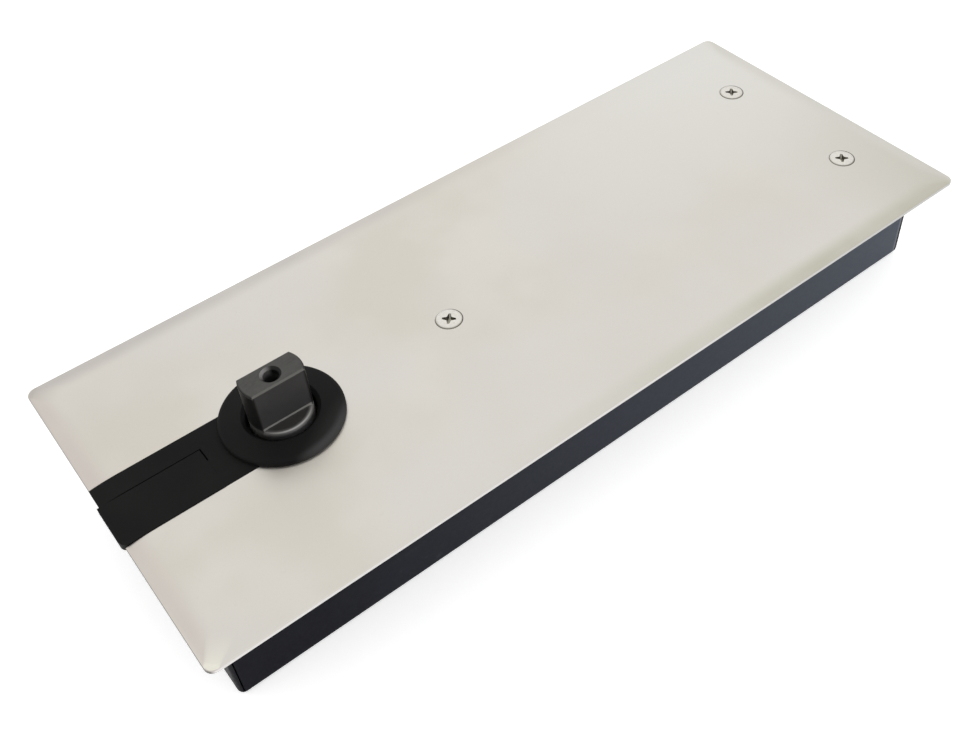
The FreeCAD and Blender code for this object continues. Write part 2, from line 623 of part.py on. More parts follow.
def make_closer_body():
    """Iron casting: cam chamber boss, barrel, end collar, valve block and feet."""
    body = keep(new_body("closer_body"))
    slot_half = "(slide_plate_half_width + slide_gap)"
    nose = "(%s + carriage_stroke + 2 * slide_gap)" % CARRIAGE_NEAR
    front = pad(body, "flange_underside", "flange_thickness",
                [rectangle("-front_flange_near", "-front_flange_half",
                           "front_flange_far", "front_flange_half")])
    fillet(body, front, "flange_corner", lambda edge, middle: upright(edge))
    pad(body, "body_underside", "boss_top - body_underside", [("0", "0", "boss_radius")])
    bulge = pad(body, "chamber_floor - wall", "chamber_ceiling - chamber_floor + 2 * wall",
                [rectangle("-%s - wall" % nose, "-%s - wall" % slot_half, "0", slot_half + " + wall")])
    bulge_half = size["slide_plate_half_width"] + size["slide_gap"] + size["wall"]
    fillet(body, bulge, "wall", lambda edge, middle: upright(edge)
           and middle.x < 0 and abs(abs(middle.y) - bulge_half) < MATCH and edge.Length > size["wall"])
    pad(body, "0", BARREL_END, [("0", "axis_height", "barrel_radius")], plane="YZ_Plane")
    feet = pad(body, "flange_underside", "flange_thickness",
               [rectangle(BARREL_END + " - rear_flange_length", "-rear_flange_half",
                          BARREL_END, "rear_flange_half")])
    fillet(body, feet, "flange_corner", lambda edge, middle: upright(edge)
           and abs(abs(middle.y) - size["rear_flange_half"]) < MATCH)
    collar = pad(body, BARREL_END + " - end_collar_length", "end_collar_length",
                 [rectangle("-end_collar_half", "axis_height - end_collar_rise",
                            "end_collar_half", "axis_height + end_collar_rise")], plane="YZ_Plane")
    fillet(body, collar, "wall", lambda edge, middle: abs(edge.Length - size["end_collar_length"]) < MATCH
           and abs(abs(middle.y) - size["end_collar_half"]) < MATCH and middle.z > size["axis_height"])
    block = pad(body, "valve_block_foot", "valve_block_top - valve_block_foot",
                [rectangle(VALVE_BLOCK_NEAR, "0", VALVE_BLOCK_FAR, "valve_block_reach")])
    fillet(body, block, "wall", lambda edge, middle: upright(edge)
           and abs(middle.y - size["valve_block_reach"]) < MATCH)
    pad(body, "axis_height", DIMPLE_UNDER + " - axis_height", [(NEAR_SCREW, "0", "screw_boss_radius")])

    pocket(body, "cap_top + cut_margin", "cap_top + cut_margin - boss_top",
           [("0", "0", "boss_radius + fit_gap")])
    pocket(body, "boss_top", "boss_top - chamber_floor", [("0", "0", "chamber_radius")])
    pocket(body, "chamber_ceiling", "chamber_ceiling - chamber_floor",
           [rectangle("-" + nose, "-" + slot_half, "bulkhead_near", slot_half)])
    pocket(body, "chamber_floor", "chamber_floor - lower_bearing_foot",
           [("0", "0", "lower_bearing_radius + thread_gap")])
    pocket(body, BARREL_END, BARREL_END + " - bulkhead_far", [("0", "axis_height", "bore_radius")],
           plane="YZ_Plane")
    pocket(body, "bulkhead_far", "bulkhead_far - bulkhead_near",
           [("0", "axis_height", "rod_passage_radius")], plane="YZ_Plane")
    pocket(body, BARREL_END, "plug_length", [("0", "axis_height", "plug_thread_radius + thread_gap")],
           plane="YZ_Plane")
    pocket(body, DIMPLE_UNDER, "screw_length - screw_head_radius + screw_radius",
           [(NEAR_SCREW, "0", "screw_radius + thread_gap")])
    holes = [(along, across, "cap_screw_radius + thread_gap")
             for along, across, up in on_circle("cap_screw_circle", CAP_SCREWS)]
    pocket(body, "boss_top", "cap_screw_length", holes)
    bolt_holes = []
    for side in ("", "-"):
        bolt_holes.append(("-front_bolt_along", side + "front_bolt_across", "bolt_radius + 3 * fit_gap"))
        bolt_holes.append((REAR_BOLT, side + "rear_bolt_across", "bolt_radius + 3 * fit_gap"))
        bolt_holes.append(("front_height_along", side + "front_height_across", "bolt_radius + thread_gap"))
        bolt_holes.append((REAR_HEIGHT, side + "rear_bolt_across", "bolt_radius + thread_gap"))
    pocket(body, FLANGE_TOP, "flange_thickness", bolt_holes)
    valve_holes = [(along, "valve_across", "valve_radius + fit_gap")
                   for along in (CLOSING_VALVE, LATCHING_VALVE)]
    pocket(body, "valve_block_top", "valve_block_top - %s + valve_tip" % VALVE_FOOT, valve_holes)
    pocket(body, "valve_block_top", "filler_length - filler_head_height + filler_well",
           [(FILLER, "valve_across", "filler_radius + thread_gap")])
    for along in (CLOSING_VALVE, LATCHING_VALVE):
        pocket(body, "0", "valve_across", [(along, VALVE_FOOT, "valve_tip_radius")], plane="XZ_Plane")


def make_bearing_cap():
    """Flanged cap that closes the cam chamber and holds the upper bearing and seal."""
    body = keep(new_body("bearing_cap"))
    spigot = "(chamber_radius - cap_spigot_gap)"
    groove_floor = "(chamber_radius - cap_spigot_gap - 1.6 * ring_cord_radius)"
    race_top = "(upper_bearing_foot + upper_bearing_width + fit_gap)"
    seal_foot = "(cap_top - seal_thickness)"
    turn(body, [("upper_bearing_radius + thread_gap", "chamber_ceiling"), (spigot, "chamber_ceiling"),
                (spigot, CAP_GROOVE + " - 1.2 * ring_cord_radius"),
                (groove_floor, CAP_GROOVE + " - 1.2 * ring_cord_radius"),
                (groove_floor, CAP_GROOVE + " + 1.2 * ring_cord_radius"),
                (spigot, CAP_GROOVE + " + 1.2 * ring_cord_radius"),
                (spigot, "boss_top"), ("boss_radius", "boss_top"),
                ("boss_radius", "cap_top"), ("seal_radius + thread_gap", "cap_top"),
                ("seal_radius + thread_gap", seal_foot), ("spindle_radius + seat_gap", seal_foot),
                ("spindle_radius + seat_gap", race_top),
                ("upper_bearing_radius + thread_gap", race_top)])
    through = [(along, across, "cap_screw_radius + fit_gap")
               for along, across, up in on_circle("cap_screw_circle", CAP_SCREWS)]
    drilled = pocket(body, "cap_top", "cap_top - boss_top", through)
    chamfer(body, drilled, CAP_SCREW_CONE,
            ring_edge(size["cap_screw_radius"] + size["fit_gap"], size["cap_top"]))


def make_cap_screws():
    master = new_body("cap_screw_master")
    turn(master, [("0", "-cap_screw_length"), ("cap_screw_radius", "-cap_screw_length"),
                  ("cap_screw_radius", "-" + CAP_SCREW_CONE), ("cap_screw_head_radius", "0"), ("0", "0")])
    pocket(master, "0", "cap_screw_radius", [hexagon("1.2 * cap_screw_radius")])
    copies("cap_screws", master, on_circle("cap_screw_circle", CAP_SCREWS, "cap_top"))


def make_seal_ring(label, radius, cord_radius, along="0", across="0", up="0", lying=False):
    """Rubber ring of octagonal cord about the upright axis, or about X where it lies."""
    body = keep(new_body(label))
    points = []
    for corner in range(8):
        angle = "%g deg" % (22.5 + 45 * corner)
        out = "%s + %s * cos(%s)" % (radius, cord_radius, angle)
        rise = "%s * sin(%s)" % (cord_radius, angle)
        points.append((rise, out) if lying else (out, rise))
    turn(body, points, "H_Axis" if lying else "V_Axis")
    shift(body, along, across, up)


def make_bearing(name, bore, outer, foot, width, roller_radius, count):
    """Roller bearing as four nodes: two races, a windowed cage and its rollers."""
    pitch = "((%s + %s) / 2)" % (bore, outer)
    ends = "(%s + %s)" % (foot, width)
    track = "(%s + race_gap)" % roller_radius
    inner = keep(new_body(name + "_inner_race"))
    turn(inner, [(bore, foot), ("%s - %s" % (pitch, track), foot),
                 ("%s - %s" % (pitch, track), ends), (bore, ends)])
    outer_race = keep(new_body(name + "_outer_race"))
    lip = "(%s + cage_half_wall + 2 * race_gap)" % pitch
    edge = "(roller_end_gap - race_gap)"
    turn(outer_race, [(lip, foot), (outer, foot), (outer, ends), (lip, ends),
                      (lip, ends + " - " + edge), ("%s + %s" % (pitch, track), ends + " - " + edge),
                      ("%s + %s" % (pitch, track), foot + " + " + edge), (lip, foot + " + " + edge)])
    cage = keep(new_body(name + "_cage"))
    turn(cage, rectangle(pitch + " - cage_half_wall", foot + " + race_gap",
                         pitch + " + cage_half_wall", ends + " - race_gap"))
    places = on_circle(pitch, count)
    windows = [(along, across, roller_radius + " + pocket_gap") for along, across, up in places]
    pocket(cage, ends + " - roller_end_gap", width + " - 2 * roller_end_gap", windows)
    roller = new_body(name + "_roller_master")
    turn(roller, rectangle("0", "0", roller_radius, width + " - 2 * roller_end_gap - 2 * race_gap"))
    lift = foot + " + roller_end_gap + race_gap"
    copies(name + "_rollers", roller, [(along, across, lift) for along, across, up in places])


def make_spindle():
    """Spindle: foot journal, long shank, tongue with two flats and an arm screw hole."""
    body = keep(new_body("spindle"))
    shoulder = "(lower_bearing_foot + lower_bearing_width)"
    shank = turn(body, [("0", "lower_bearing_foot + race_gap"),
                        ("foot_journal_radius", "lower_bearing_foot + race_gap"),
                        ("foot_journal_radius", shoulder), ("spindle_radius", shoulder),
                        ("spindle_radius", "spindle_shoulder"), ("0", "spindle_shoulder")])
    fillet(body, shank, "shoulder_rounding", ring_edge(size["spindle_radius"], size["spindle_shoulder"]))
    flat = "tongue_thickness / 2"
    reach = "(1.5 * spindle_radius)"
    tongue = "(spindle_top - spindle_shoulder + shoulder_rounding)"
    pad(body, "spindle_shoulder - shoulder_rounding", tongue,
        [rectangle("-" + reach, "-" + flat, reach, flat)])
    trimmed = pocket(body, "spindle_top", tongue,
                     [("0", "0", "2 * spindle_radius"), ("0", "0", "spindle_radius")])
    chamfer(body, trimmed, "tongue_chamfer",
            lambda edge, middle: abs(middle.z - size["spindle_top"]) < MATCH)
    drilled = pocket(body, "spindle_top", "arm_hole_depth", [("0", "0", "arm_hole_radius")])
    chamfer(body, drilled, "arm_hole_sink", ring_edge(size["arm_hole_radius"], size["spindle_top"]))
    pocket(body, CAM_TOP, "cam_thickness",
           [rectangle("spindle_radius - key_height / 2", "-key_width / 2", reach, "key_width / 2")])


def cam_outline():
    """Heart cam outline: both flanks lie one follower radius inside the follower's path.

    The path's radius grows evenly with the angle from the notch, which points
    along -X, so two followers on opposite sides always touch both flanks.
    """
    rest = size["cam_rest_radius"]
    rise = size["cam_rise"]
    offset = size["cam_offset"]
    flank = []
    for step in range(CAM_STEPS + 1):
        angle = math.pi * step / CAM_STEPS
        reach = rest + rise * angle
        slope = math.hypot(reach, rise)
        normal_along = (rise * math.sin(angle) + reach * math.cos(angle)) / slope
        normal_across = (reach * math.sin(angle) - rise * math.cos(angle)) / slope
        flank.append((reach * math.cos(angle) - offset * normal_along,
                      reach * math.sin(angle) - offset * normal_across))
    return [(-along, across) for along, across in flank if across > 0]


def make_heart_cam():
    """Heart-shaped cam keyed to the spindle."""
    flank = cam_outline()
    foot = size["axis_height"] - size["cam_thickness"] / 2
    upper = [FreeCAD.Vector(along, across, foot) for along, across in flank]
    lower = [FreeCAD.Vector(along, -across, foot) for along, across in reversed(flank)]
    notch_bottom = FreeCAD.Vector(size["cam_offset"] - size["cam_rest_radius"], 0, foot)
    far_reach = size["cam_rest_radius"] + math.pi * size["cam_rise"] - size["cam_offset"]
    tip = FreeCAD.Vector(far_reach, 0, foot)
    edges = []
    for points in (upper, lower):
        curve = Part.BSplineCurve()
        curve.interpolate(points)
        edges.append(curve.toShape())
    edges.insert(1, Part.Arc(upper[-1], tip, lower[0]).toShape())
    edges.append(Part.Arc(lower[-1], notch_bottom, upper[0]).toShape())
    lift = FreeCAD.Vector(0, 0, size["cam_thickness"])
    cam = Part.Face(Part.Wire(edges)).extrude(lift)
    up = FreeCAD.Vector(0, 0, 1)
    bore = Part.makeCylinder(size["spindle_radius"] + size["thread_gap"], size["cam_thickness"],
                             FreeCAD.Vector(0, 0, foot), up)
    key_seat = Part.makeBox(size["spindle_radius"] + size["key_height"] / 2 + size["thread_gap"],
                            size["key_width"] + 2 * size["thread_gap"], size["cam_thickness"],
                            FreeCAD.Vector(0, -size["key_width"] / 2 - size["thread_gap"], foot))
    feature = doc.addObject("Part::Feature", "heart_cam")
    feature.Label = "heart_cam"
    feature.Shape = cam.cut(bore).cut(key_seat)
    keep(feature)
    key = keep(new_body("cam_key"))
    pad(key, CAM_FOOT, "cam_thickness",
        [rectangle("spindle_radius - key_height / 2", "-key_width / 2",
                   "spindle_radius + key_height / 2", "key_width / 2")])


def make_carriage():
    """Two slide plates, crosshead, pins and followers that straddle the cam."""
    slot_half = "(spindle_radius + spindle_slot_gap)"
    pins = [(FRONT_FOLLOWER, "0", "follower_pin_radius + thread_gap"),
            (REAR_FOLLOWER, "0", "follower_pin_radius + thread_gap")]
    head_middle = "(%s + crosshead_length / 2)" % CROSSHEAD_NEAR
    head_pins = [(head_middle, side + "crosshead_pin_across", "crosshead_pin_radius + thread_gap")
                 for side in ("", "-")]
    near = "-" + CARRIAGE_NEAR
    far = "(%s + crosshead_length)" % CROSSHEAD_NEAR
    for label, foot in (("lower_slide_plate", LOWER_PLATE_FOOT), ("upper_slide_plate", UPPER_PLATE_FOOT)):
        plate = keep(new_body(label))
        blank = pad(plate, foot, "slide_plate_thickness",
                    [rectangle(near, "-slide_plate_half_width", far, "slide_plate_half_width")])
        fillet(plate, blank, "wall", lambda edge, middle: upright(edge))
        top = foot + " + slide_plate_thickness"
        pocket(plate, top, "slide_plate_thickness",
               [rectangle("0", "-" + slot_half, "carriage_stroke", slot_half)])
        for along in ("0", "carriage_stroke"):
            pocket(plate, top, "slide_plate_thickness", [(along, "0", slot_half)])
        pocket(plate, top, "slide_plate_thickness", pins + head_pins)
    for label, along in (("front_follower_pin", FRONT_FOLLOWER), ("rear_follower_pin", REAR_FOLLOWER)):
        pin = keep(new_body(label))
        pad(pin, LOWER_PLATE_FOOT, UPPER_PLATE_TOP + " - " + LOWER_PLATE_FOOT,
            [(along, "0", "follower_pin_radius")])
    for label, along in (("front_follower", FRONT_FOLLOWER), ("rear_follower", REAR_FOLLOWER)):
        follower = keep(new_body(label))
        inner = "(follower_pin_radius + follower_bore_gap)"
        bottom = "(%s + follower_end_gap)" % LOWER_PLATE_TOP
        ceiling = "(%s - follower_end_gap)" % UPPER_PLATE_FOOT
        turn(follower, rectangle(inner, bottom, "follower_radius", ceiling))
        shift(follower, along)
    crosshead = keep(new_body("crosshead"))
    pad(crosshead, LOWER_PLATE_TOP, UPPER_PLATE_FOOT + " - " + LOWER_PLATE_TOP,
        [rectangle(CROSSHEAD_NEAR, "-crosshead_half_width", far, "crosshead_half_width")] + head_pins)
    pocket(crosshead, far, "0.75 * crosshead_length",
           [("0", "axis_height", "rod_radius * 0.75 + thread_gap")], plane="YZ_Plane")
    pin_master = new_body("crosshead_pin_master")
    pad(pin_master, LOWER_PLATE_FOOT, UPPER_PLATE_TOP + " - " + LOWER_PLATE_FOOT,
        [("0", "0", "crosshead_pin_radius")])
    copies("crosshead_pins", pin_master,
           [(head_middle, side + "crosshead_pin_across", "0") for side in ("", "-")])


def make_piston_group():
    """Pull rod, piston with its ring and nut, and the check valve in the piston."""
    head_far = "(%s + crosshead_length)" % CROSSHEAD_NEAR
    rod_end = "(%s + piston_nut_height + rod_stub)" % PISTON_FAR
    neck = "(0.75 * rod_radius)"
    rod = keep(new_body("pull_rod"))
    rod_near = head_far + " - 0.7 * crosshead_length"
    turn(rod, [(rod_near, "0"), (rod_near, neck), (head_far, neck), (head_far, "rod_radius"),
               (PISTON_NEAR, "rod_radius"), (PISTON_NEAR, neck),
               (rod_end, neck), (rod_end, "0")], "H_Axis")
    shift(rod, up="axis_height")
    piston = keep(new_body("piston"))
    skin = "(bore_radius - piston_gap)"
    ring_near = "(%s + piston_length / 2 - piston_ring_width / 2)" % PISTON_NEAR
    ring_far = "(%s + piston_length / 2 + piston_ring_width / 2)" % PISTON_NEAR
    groove = "(%s - piston_ring_depth)" % skin
    bore = neck + " + thread_gap"
    turn(piston, [(PISTON_NEAR, bore), (PISTON_NEAR, skin), (ring_near, skin), (ring_near, groove),
                  (ring_far, groove), (ring_far, skin), (PISTON_FAR, skin), (PISTON_FAR, bore)], "H_Axis")
    pocket(piston, PISTON_FAR, "0.6 * piston_length", [("0", "check_offset", "check_bore_radius")],
           plane="YZ_Plane")
    pocket(piston, PISTON_FAR, "piston_length", [("0", "check_offset", "check_ball_radius / 2")],
           plane="YZ_Plane")
    shift(piston, up="axis_height")
    ring = keep(new_body("piston_ring"))
    turn(ring, rectangle(ring_near + " + thread_gap", groove + " + thread_gap",
                         ring_far + " - thread_gap", skin), "H_Axis")
    shift(ring, up="axis_height")
    nut = keep(new_body("piston_nut"))
    pad(nut, PISTON_FAR, "piston_nut_height",
        [hexagon("piston_nut_width"), ("0", "0", neck + " + thread_gap")], plane="YZ_Plane")
    shift(nut, up="axis_height")
    ball = doc.addObject("Part::Sphere", "check_ball")
    ball.Label = "check_ball"
    ball.setExpression("Radius", bound("check_ball_radius"))
    shift(ball, PISTON_FAR + " - 0.6 * piston_length + 1.1 * check_ball_radius", "0",
          "axis_height + check_offset")
    keep(ball)
    retainer = keep(new_body("check_retainer"))
    pad(retainer, PISTON_FAR + " - 0.25 * piston_length", "0.25 * piston_length",
        [("0", "axis_height + check_offset", "check_bore_radius - thread_gap"),
         ("0", "axis_height + check_offset", "check_ball_radius / 2")], plane="YZ_Plane")


def make_end_plug():
    """Screwed plug that closes the barrel."""
    body = keep(new_body("end_plug"))
    inner = "(bore_radius - 1.2 * ring_cord_radius - piston_gap)"
    skin = "(bore_radius - piston_gap)"
    shoulder = "(%s - 3 * ring_cord_radius)" % PLUG_NEAR
    turn(body, [(shoulder + " - ring_cord_radius", "0"), (shoulder + " - ring_cord_radius", skin),
                (shoulder, skin), (shoulder, inner), (PLUG_NEAR + " - ring_cord_radius / 2", inner),
                (PLUG_NEAR + " - ring_cord_radius / 2", skin), (PLUG_NEAR, skin),
                (PLUG_NEAR, "plug_thread_radius"), (BARREL_END, "plug_thread_radius"), (BARREL_END, "0")],
         "H_Axis")
    shift(body, up="axis_height")
    pocket(body, BARREL_END, "plug_socket_depth", [hexagon("plug_socket_width")], plane="YZ_Plane")


def make_main_spring():
    """Closing spring of rectangular wire between the bulkhead and the piston."""
    start = size["bulkhead_far"] + size["seat_gap"]
    end = barrel_end - size["piston_from_end"] - size["seat_gap"]
    radial = size["spring_wire_radial"]
    axial = size["spring_wire_axial"]
    middle = size["spring_outer_radius"] - radial / 2
    pitch = (end - start - axial) / size["spring_turns"]
    helix = Part.makeHelix(pitch, end - start - axial, middle)
    corners = []
    for out, rise in ((-1, -1), (1, -1), (1, 1), (-1, 1), (-1, -1)):
        corners.append(FreeCAD.Vector(middle + out * radial / 2, 0, rise * axial / 2))
    section = Part.makePolygon(corners)
    coil = Part.Wire(helix).makePipeShell([section], True, True)
    feature = doc.addObject("Part::Feature", "main_spring")
    feature.Label = "main_spring"
    feature.Shape = coil
    feature.Placement = FreeCAD.Placement(FreeCAD.Vector(start + axial / 2, 0, size["axis_height"]),
                                          FreeCAD.Rotation(FreeCAD.Vector(0, 1, 0), 90))
    keep(feature)


def make_valves():
    """Slotted needle valves for closing and latching speed, with their rings."""
    for label, along in (("closing_valve", CLOSING_VALVE), ("latching_valve", LATCHING_VALVE)):
        valve = keep(new_body(label))
        groove_low = "(0.55 * valve_length - 1.2 * valve_ring_cord_radius)"
        groove_high = "(0.55 * valve_length + 1.2 * valve_ring_cord_radius)"
        groove = "(valve_radius - 1.3 * valve_ring_cord_radius)"
        turn(valve, [("0", "0"), ("valve_tip_radius * 0.4", "0"), ("valve_tip_radius", "valve_tip"),
                     ("valve_radius", "valve_tip"), ("valve_radius", groove_low), (groove, groove_low),
                     (groove, groove_high), ("valve_radius", groove_high), ("valve_radius", "valve_length"),
                     ("0", "valve_length")])
        pocket(valve, "valve_length", "valve_slot_depth",
               [rectangle("-2 * valve_radius", "-valve_slot_width / 2",
                          "2 * valve_radius", "valve_slot_width / 2")])
        shift(valve, along, "valve_across", VALVE_FOOT)
        make_seal_ring(label + "_ring", "(valve_radius - 0.55 * valve_ring_cord_radius)",
                       "valve_ring_cord_radius / 2", along, "valve_across",
                       "%s + 0.55 * valve_length" % VALVE_FOOT)


def make_filler_plug():
    washer = keep(new_body("filler_washer"))
    pad(washer, "0", "filler_washer_thickness",
        [("0", "0", "filler_head_radius"), ("0", "0", "filler_radius + fit_gap")])
    shift(washer, FILLER, "valve_across", "valve_block_top")
    plug = keep(new_body("filler_plug"))
    shank = "(filler_length - filler_head_height)"
    head_top = "filler_washer_thickness + filler_head_height"
    turn(plug, [("0", "-" + shank), ("filler_radius", "-" + shank),
                ("filler_radius", "filler_washer_thickness"),
                ("filler_head_radius", "filler_washer_thickness"),
                ("filler_head_radius", head_top), ("0", head_top)])
    pocket(plug, head_top, "filler_head_height", [hexagon("filler_socket_width")])
    shift(plug, FILLER, "valve_across", "valve_block_top")


def make_hold_downs():
    """Bolts, washers and welded nuts that hold the closer down, and its height screws."""
    places = []
    height_places = []
    for side in ("", "-"):
        places.append(("-front_bolt_along", side + "front_bolt_across", "0"))
        places.append((REAR_BOLT, side + "rear_bolt_across", "0"))
        height_places.append(("front_height_along", side + "front_height_across", "0"))
        height_places.append((REAR_HEIGHT, side + "rear_bolt_across", "0"))
    seat = "(%s + washer_thickness)" % FLANGE_TOP
    bolt = new_body("hold_down_bolt_master")
    turn(bolt, [("0", "box_sheet + fit_gap"), ("bolt_radius", "box_sheet + fit_gap"), ("bolt_radius", seat),
                ("bolt_head_radius", seat), ("bolt_head_radius", seat + " + bolt_head_height"),
                ("0", seat + " + bolt_head_height")])
    pocket(bolt, seat + " + bolt_head_height", "bolt_socket_depth", [hexagon("2 * bolt_socket_radius")])
    copies("hold_down_bolts", bolt, places)
    washer = new_body("hold_down_washer_master")
    pad(washer, FLANGE_TOP, "washer_thickness",
        [("0", "0", "washer_radius"), ("0", "0", "bolt_radius + 2 * fit_gap")])
    copies("hold_down_washers", washer, places)
    nut = new_body("base_nut_master")
    pad(nut, "box_sheet", "nut_height", [hexagon("nut_width"), ("0", "0", "bolt_radius + thread_gap")])
    copies("base_nuts", nut, places)
    screw = new_body("height_screw_master")
    pad(screw, "box_sheet", FLANGE_TOP + " - box_sheet + height_screw_stub", [("0", "0", "bolt_radius")])
    pocket(screw, FLANGE_TOP + " + height_screw_stub", "bolt_radius", [hexagon("bolt_radius")])
    copies("height_screws", screw, height_places)


def make_small_rings():
    make_seal_ring("cap_o_ring", "(chamber_radius - cap_spigot_gap - 0.8 * ring_cord_radius)",
                   "0.75 * ring_cord_radius", up=CAP_GROOVE)
    make_seal_ring("end_plug_o_ring", "(bore_radius - piston_gap - 0.6 * ring_cord_radius)",
                   "0.55 * ring_cord_radius", along="%s - 1.75 * ring_cord_radius" % PLUG_NEAR,
                   up="axis_height", lying=True)
    seal = keep(new_body("spindle_seal"))
    seal_foot = "cap_top - seal_thickness"
    turn(seal, [("spindle_radius + fit_gap", seal_foot), ("seal_radius", seal_foot),
                ("seal_radius", "cap_top"), ("spindle_radius + seat_gap", "cap_top")])


def check_model():
    """Stop with a plain message if any object failed or any node has a bad shape."""
    faults = []
    for item in doc.Objects:
        if "Invalid" in item.State or "Error" in item.State:
            faults.append("%s: %s" % (item.Label, item.State))
            continue
        if hasattr(item, "Shape") and item.TypeId.startswith("PartDesign") and item.Shape.isNull():
            faults.append("%s has no shape" % item.Name)
            continue
        base = getattr(item, "BaseFeature", None)
        cuts = item.TypeId in ("PartDesign::Pocket", "PartDesign::Groove")
        if cuts and base is not None and item.Shape.Volume > base.Shape.Volume - CUT_CHECK:
            faults.append("%s cuts nothing" % item.Name)
    for node in nodes:
        if node.Shape.isNull() or not node.Shape.isValid() or not node.Shape.Solids:
            faults.append("%s has no valid solid" % node.Label)
    if faults:
        raise RuntimeError("; ".join(faults))


def write_parts():
    os.makedirs("parts", exist_ok=True)
    for node in nodes:
        node.Shape.exportStep("parts/%s.step" % node.Label)


make_cover_plate()
make_cover_screws()
make_slot_insert()
make_cement_box()
make_cover_bracket()
make_closer_body()
make_bearing_cap()
make_cap_screws()
make_spindle()
make_heart_cam()
make_bearing("upper", "spindle_radius", "upper_bearing_radius", "upper_bearing_foot",
             "upper_bearing_width", "upper_roller_radius", UPPER_ROLLERS)
make_bearing("lower", "foot_journal_radius", "lower_bearing_radius", "lower_bearing_foot",
             "lower_bearing_width", "lower_roller_radius", LOWER_ROLLERS)
make_carriage()
make_piston_group()
make_end_plug()
make_main_spring()
make_valves()
make_filler_plug()
make_hold_downs()
make_small_rings()
doc.recompute()
check_model()
write_parts()
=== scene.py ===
"""Looks of the floor spring door closer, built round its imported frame.

Metres, in the frame's own axes: the origin lies on the spindle axis at the
underside of the box, +X runs to the far end of the cover and +Z is up.
"""

import math

import bmesh
import bpy
from mathutils import Euler, Matrix, Vector


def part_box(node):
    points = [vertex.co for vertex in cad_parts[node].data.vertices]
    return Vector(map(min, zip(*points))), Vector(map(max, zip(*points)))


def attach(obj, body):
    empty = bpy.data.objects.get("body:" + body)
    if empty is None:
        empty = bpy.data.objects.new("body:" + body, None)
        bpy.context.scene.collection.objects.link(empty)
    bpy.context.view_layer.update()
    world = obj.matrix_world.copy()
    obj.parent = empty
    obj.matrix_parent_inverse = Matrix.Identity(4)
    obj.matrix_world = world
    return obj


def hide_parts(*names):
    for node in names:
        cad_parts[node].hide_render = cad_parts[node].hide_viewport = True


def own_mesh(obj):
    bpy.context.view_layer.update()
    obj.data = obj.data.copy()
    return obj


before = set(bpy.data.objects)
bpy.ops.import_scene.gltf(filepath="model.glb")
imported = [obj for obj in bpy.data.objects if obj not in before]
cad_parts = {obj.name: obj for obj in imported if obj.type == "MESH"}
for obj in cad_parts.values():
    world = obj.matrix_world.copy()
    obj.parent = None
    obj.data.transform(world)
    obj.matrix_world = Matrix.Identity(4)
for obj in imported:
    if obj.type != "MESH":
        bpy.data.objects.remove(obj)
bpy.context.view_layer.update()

MM = 0.001

# Camera, worked out from the photograph's plate edges and upright edges
CAMERA_PLACE = (-0.073067, -0.227753, 0.311934)
CAMERA_TURN = (44.190, 2.808, -38.035)
CAMERA_LENS = 42.84
CAMERA_SENSOR = 36.0
CAMERA_SHIFT = (-0.0249, -0.0483)
CAMERA_NEAREST = 0.01

# Cover plate
SHEET = 1.2 * MM
RIM_DROP = 0.6 * MM
RIM_RUN = 9.0 * MM
RIM_STEPS = 14
CORNER_RADIUS = 3.0 * MM
CORNER_GROWTH = 0.6
CORNER_STEPS = 10
EDGE_ROUNDING = 0.22 * MM
EDGE_STEPS = 3
SLOT_HALF = 12.6 * MM
SLOT_END_RADIUS = 17.9 * MM
SLOT_STEPS = 72
SCREW_CLEARANCE = 0.15 * MM
DIMPLE_WALL = 1.1 * MM

# Cover screws
HEAD_RADIUS = 4.55 * MM
HEAD_STEPS = 56
HEAD_EDGE = 0.6 * MM
HEAD_EDGE_BEND = 0.3
HEAD_BAND = 0.7 * MM
SHANK_RADIUS = 2.5 * MM
SHANK_TIP = 0.5 * MM
RECESS_ARM = 2.7 * MM
RECESS_HALF = 0.85 * MM
RECESS_TIP = 0.35 * MM
RECESS_DEPTH = 1.3 * MM
RECESS_FLARE = 1.12
RECESS_TAPER = 0.5
SCREW_TURN = math.radians(-44)

# Closing spring
SPRING_TURNS = 8
SPRING_STEPS = 40
WIRE_RADIAL = 4.4 * MM
WIRE_AXIAL = 5.0 * MM

# Shading stays crisp over edges sharper than these angles
SHARP_ANGLE = 28
COVER_SHARP_ANGLE = 24
TURNED_STEPS = 64

# Every pair below says where a mask is empty and where it is full.

# Noise lies mostly between these values
MOST_NOISE = (0.3, 0.7)

# How far a softened edge still faces as its own surface does
EDGE_FACING = (0.99, 0.8)
EDGE_SAMPLES = 6

# How far a surface faces the mask's way, from 0 to 1
SQUARE_ON = (0.5, 0.9)
ROLL_FACING = (0.015, 0.1)
LEVEL_FACING = (0.965, 0.985)
CORNER_FACING = (0.0003, 0.003)
OUTWARD_FACING = (0.0, 0.01)
CUT_EDGE_FACING = (0.93, 0.6)
NEAR_CUT_FACING = (0.3, 0.7)
HEAD_RIM_FACING = (0.985, 0.93)
NEAR_RIM_FACING = (-0.25, 0.25)
CHAMFER_FACING = (0.8, 0.95)
FLAT_ROOT_FACING = (0.3, 0.6)
LIT_WALL_FACING = (0.2, 0.8)

# Places along the cover and the box, in metres from the spindle
CUT_EDGE_FADE = (0.10, 0.22)
# The box's painted reflection comes in over this stretch and is shaped by this power
REFLECTION_STRETCH = (-0.04, 0.24)
REFLECTION_POWER = 1.25

# Distances in from the box's far end
# Painted highlight along the far bend
BEND_HIGHLIGHT_INSET = (3.7 * MM, 3.1 * MM)
# Darker strip at the far end
DARK_STRIP_INSET = (2.6 * MM, 2.4 * MM)

# Depths below the screw heads for the painted shade in the recess, and the way that the heads' rims
# with painted shade face
RECESS_SHADE_DEPTHS = (0.1 * MM, 0.7 * MM)
SHADED_RIM_WAY = (-0.51, -0.86, 0)
